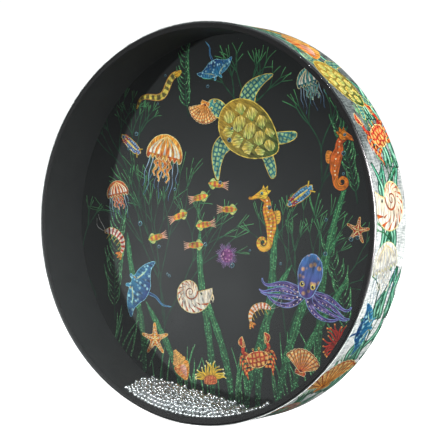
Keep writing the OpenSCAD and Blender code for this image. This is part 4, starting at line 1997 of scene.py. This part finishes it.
@dataclass
class Studio:
    """The camera, the lights, the floor and the white surroundings."""

    sizes: DrumSizes
    azimuth: float = 33.624
    elevation: float = 1.054
    distance: float = 1.52773
    focal_pixels: float = 1495.48
    frame_pixels: float = 446.0
    sensor: float = 36.0
    middle_x: float = -10.082
    middle_y: float = 0.351
    floor_half: float = 20.0
    seen_white: float = 1.05
    room_colour: Colour = (0.95, 1.0, 1.0)
    room_low: float = 0.28
    room_overhead: float = 0.25
    room_dim: float = 0.045

    def camera(self) -> None:
        """Sets the camera at the photograph's viewing angle."""
        a, e = math.radians(self.azimuth), math.radians(self.elevation)
        back = Vector((math.sin(a) * math.cos(e), -math.cos(a) * math.cos(e), math.sin(e)))
        data = bpy.data.cameras.new("camera")
        data.sensor_width = self.sensor
        data.lens = self.focal_pixels * self.sensor / self.frame_pixels
        data.shift_x = -self.middle_x / self.frame_pixels
        data.shift_y = self.middle_y / self.frame_pixels
        data.clip_start, data.clip_end = 0.01, 100.0
        camera = bpy.data.objects.new("camera", data)
        camera.location = self.sizes.centre + back * self.distance
        camera.rotation_mode = "QUATERNION"
        camera.rotation_quaternion = (-back).to_track_quat("-Z", "Y")
        bpy.context.scene.collection.objects.link(camera)
        bpy.context.scene.camera = camera

    def lamp(self, name: str, direction: tuple[float, float, float], distance: float, power: float,
             size: tuple[float, float]) -> bpy.types.Object:
        """Adds a soft light that faces the drum.

        Args:
            name: Name of the light.
            direction: Direction from the drum to the light.
            distance: Distance from the drum in metres.
            power: Power in watts.
            size: Width and height of the light in metres.

        Returns:
            The light's object.
        """
        data = bpy.data.lights.new(name, "AREA")
        data.shape, data.energy = "RECTANGLE", power
        data.size, data.size_y = size
        lamp = bpy.data.objects.new(name, data)
        lamp.location = self.sizes.centre + Vector(direction).normalized() * distance
        lamp.rotation_mode = "QUATERNION"
        lamp.rotation_quaternion = (self.sizes.centre - lamp.location).to_track_quat("-Z", "Y")
        lamp.visible_camera = False
        bpy.context.scene.collection.objects.link(lamp)
        return lamp

    def lamps(self) -> None:
        """Adds two lights that the clear head doesn't mirror, one that only its fold does, a broad
        one that only the shot mirrors, and the softer ones round the drum."""
        key = self.lamp("key", (-0.577, -0.816, -0.075), 2.5, 75.0, (0.12, 0.12))
        side = self.lamp("side", (0.93, -0.3, 0.12), 2.0, 54.0, (0.8, 1.3))
        spared = bpy.data.collections.new("spared_by_key_and_side")
        spared.objects.link(bpy.data.objects["clear_head"])
        key.light_linking.receiver_collection = spared
        side.light_linking.receiver_collection = spared
        spared.collection_objects[0].light_linking.link_state = "EXCLUDE"
        edge = bpy.data.collections.new("lit_by_edge")
        edge.objects.link(bpy.data.objects["clear_head"])
        self.lamp("edge", (0.99, 0.02, 0.13), 2.0, 54.0, (0.8, 1.3)).light_linking.receiver_collection = edge
        gleam = self.lamp("gleam", (0.2, -0.85, 0.5), 2.0, 60.0, (2.6, 2.2))
        steel = bpy.data.collections.new("lit_by_gleam")
        for piece in bpy.data.objects:
            if piece.name.startswith("steel_"):
                steel.objects.link(piece)
        gleam.light_linking.receiver_collection = steel
        self.lamp("fill", (0.75, -0.62, 0.15), 2.4, 14.0, (1.0, 1.0)).visible_glossy = False
        self.lamp("top", (0.1, -0.72, 0.68), 2.4, 30.0, (0.5, 0.4))
        self.lamp("back", (0.3, 0.9, 0.5), 2.4, 34.0, (1.6, 1.2)).visible_glossy = False

    def floor(self) -> None:
        """Lays a plain pale floor."""
        bm = bmesh.new()
        bmesh.ops.create_grid(bm, x_segments=4, y_segments=4, size=self.floor_half)
        mesh = bpy.data.meshes.new("floor")
        bm.to_mesh(mesh)
        bm.free()
        recipe = Recipe(bpy.data.materials.new("pale_floor"))
        matt = recipe.node("BsdfDiffuse", {}, {"Color": rgba((0.9, 0.9, 0.9))})
        glow = recipe.node("Emission", {}, {"Color": rgba((1, 1, 1)), "Strength": 1.0})
        both = recipe.node("AddShader", {}, {0: matt.outputs[0], 1: glow.outputs[0]})
        mesh.materials.append(recipe.finished(both.outputs[0]))
        floor = bpy.data.objects.new("floor", mesh)
        floor.visible_glossy = False
        floor.visible_diffuse = False
        bpy.context.scene.collection.objects.link(floor)

    def surroundings(self) -> None:
        """Makes the background white for the camera and a dim room for the gloss and the shadows.

        The room is brighter just under the horizon on the left, which the clear head mirrors, and
        overhead.
        """
        world = bpy.data.worlds.new("studio")
        recipe = Recipe(world)
        way = recipe.node("TexCoord").outputs["Generated"]
        split = recipe.node("SeparateXYZ", {}, {0: way})
        height = recipe.value(split, 2)
        left = 1.0 - recipe.value(split, 0).above(-0.15, 0.15)
        low = (1.0 - height.above(-0.02, 0.14)) * height.above(-0.4, 0.15) * left
        glow = low * self.room_low + height.above(0.5, 0.2) * self.room_overhead + self.room_dim
        seen = recipe.node("Background", {}, {"Color": rgba((1, 1, 1)), "Strength": self.seen_white})
        room = recipe.node("Background", {}, {"Color": rgba(self.room_colour), "Strength": glow})
        path = recipe.node("LightPath")
        mix = recipe.node("MixShader", {}, {
            0: recipe.value(path, "Is Camera Ray"), 1: room.outputs[0], 2: seen.outputs[0]})
        recipe.node("OutputWorld", {}, {"Surface": mix.outputs[0]})
        bpy.context.scene.world = world
        bpy.context.scene.view_settings.view_transform = "Standard"

    def build(self) -> None:
        """Sets up everything round the drum."""
        self.camera()
        self.floor()
        self.surroundings()
        self.lamps()


def main() -> None:
    """Builds the drum, piece by piece, and the studio round it."""
    logging.basicConfig(level=logging.INFO, format="%(name)s: %(message)s")
    sizes = DrumSizes.from_frame()
    FibreShell(sizes).build()
    ClearHead(sizes).build()
    PrintedHead(sizes).build()
    PrintedWrap(sizes).build()
    SteelShot(sizes).build()
    Studio(sizes).build()


if __name__ == "__main__":
    main()
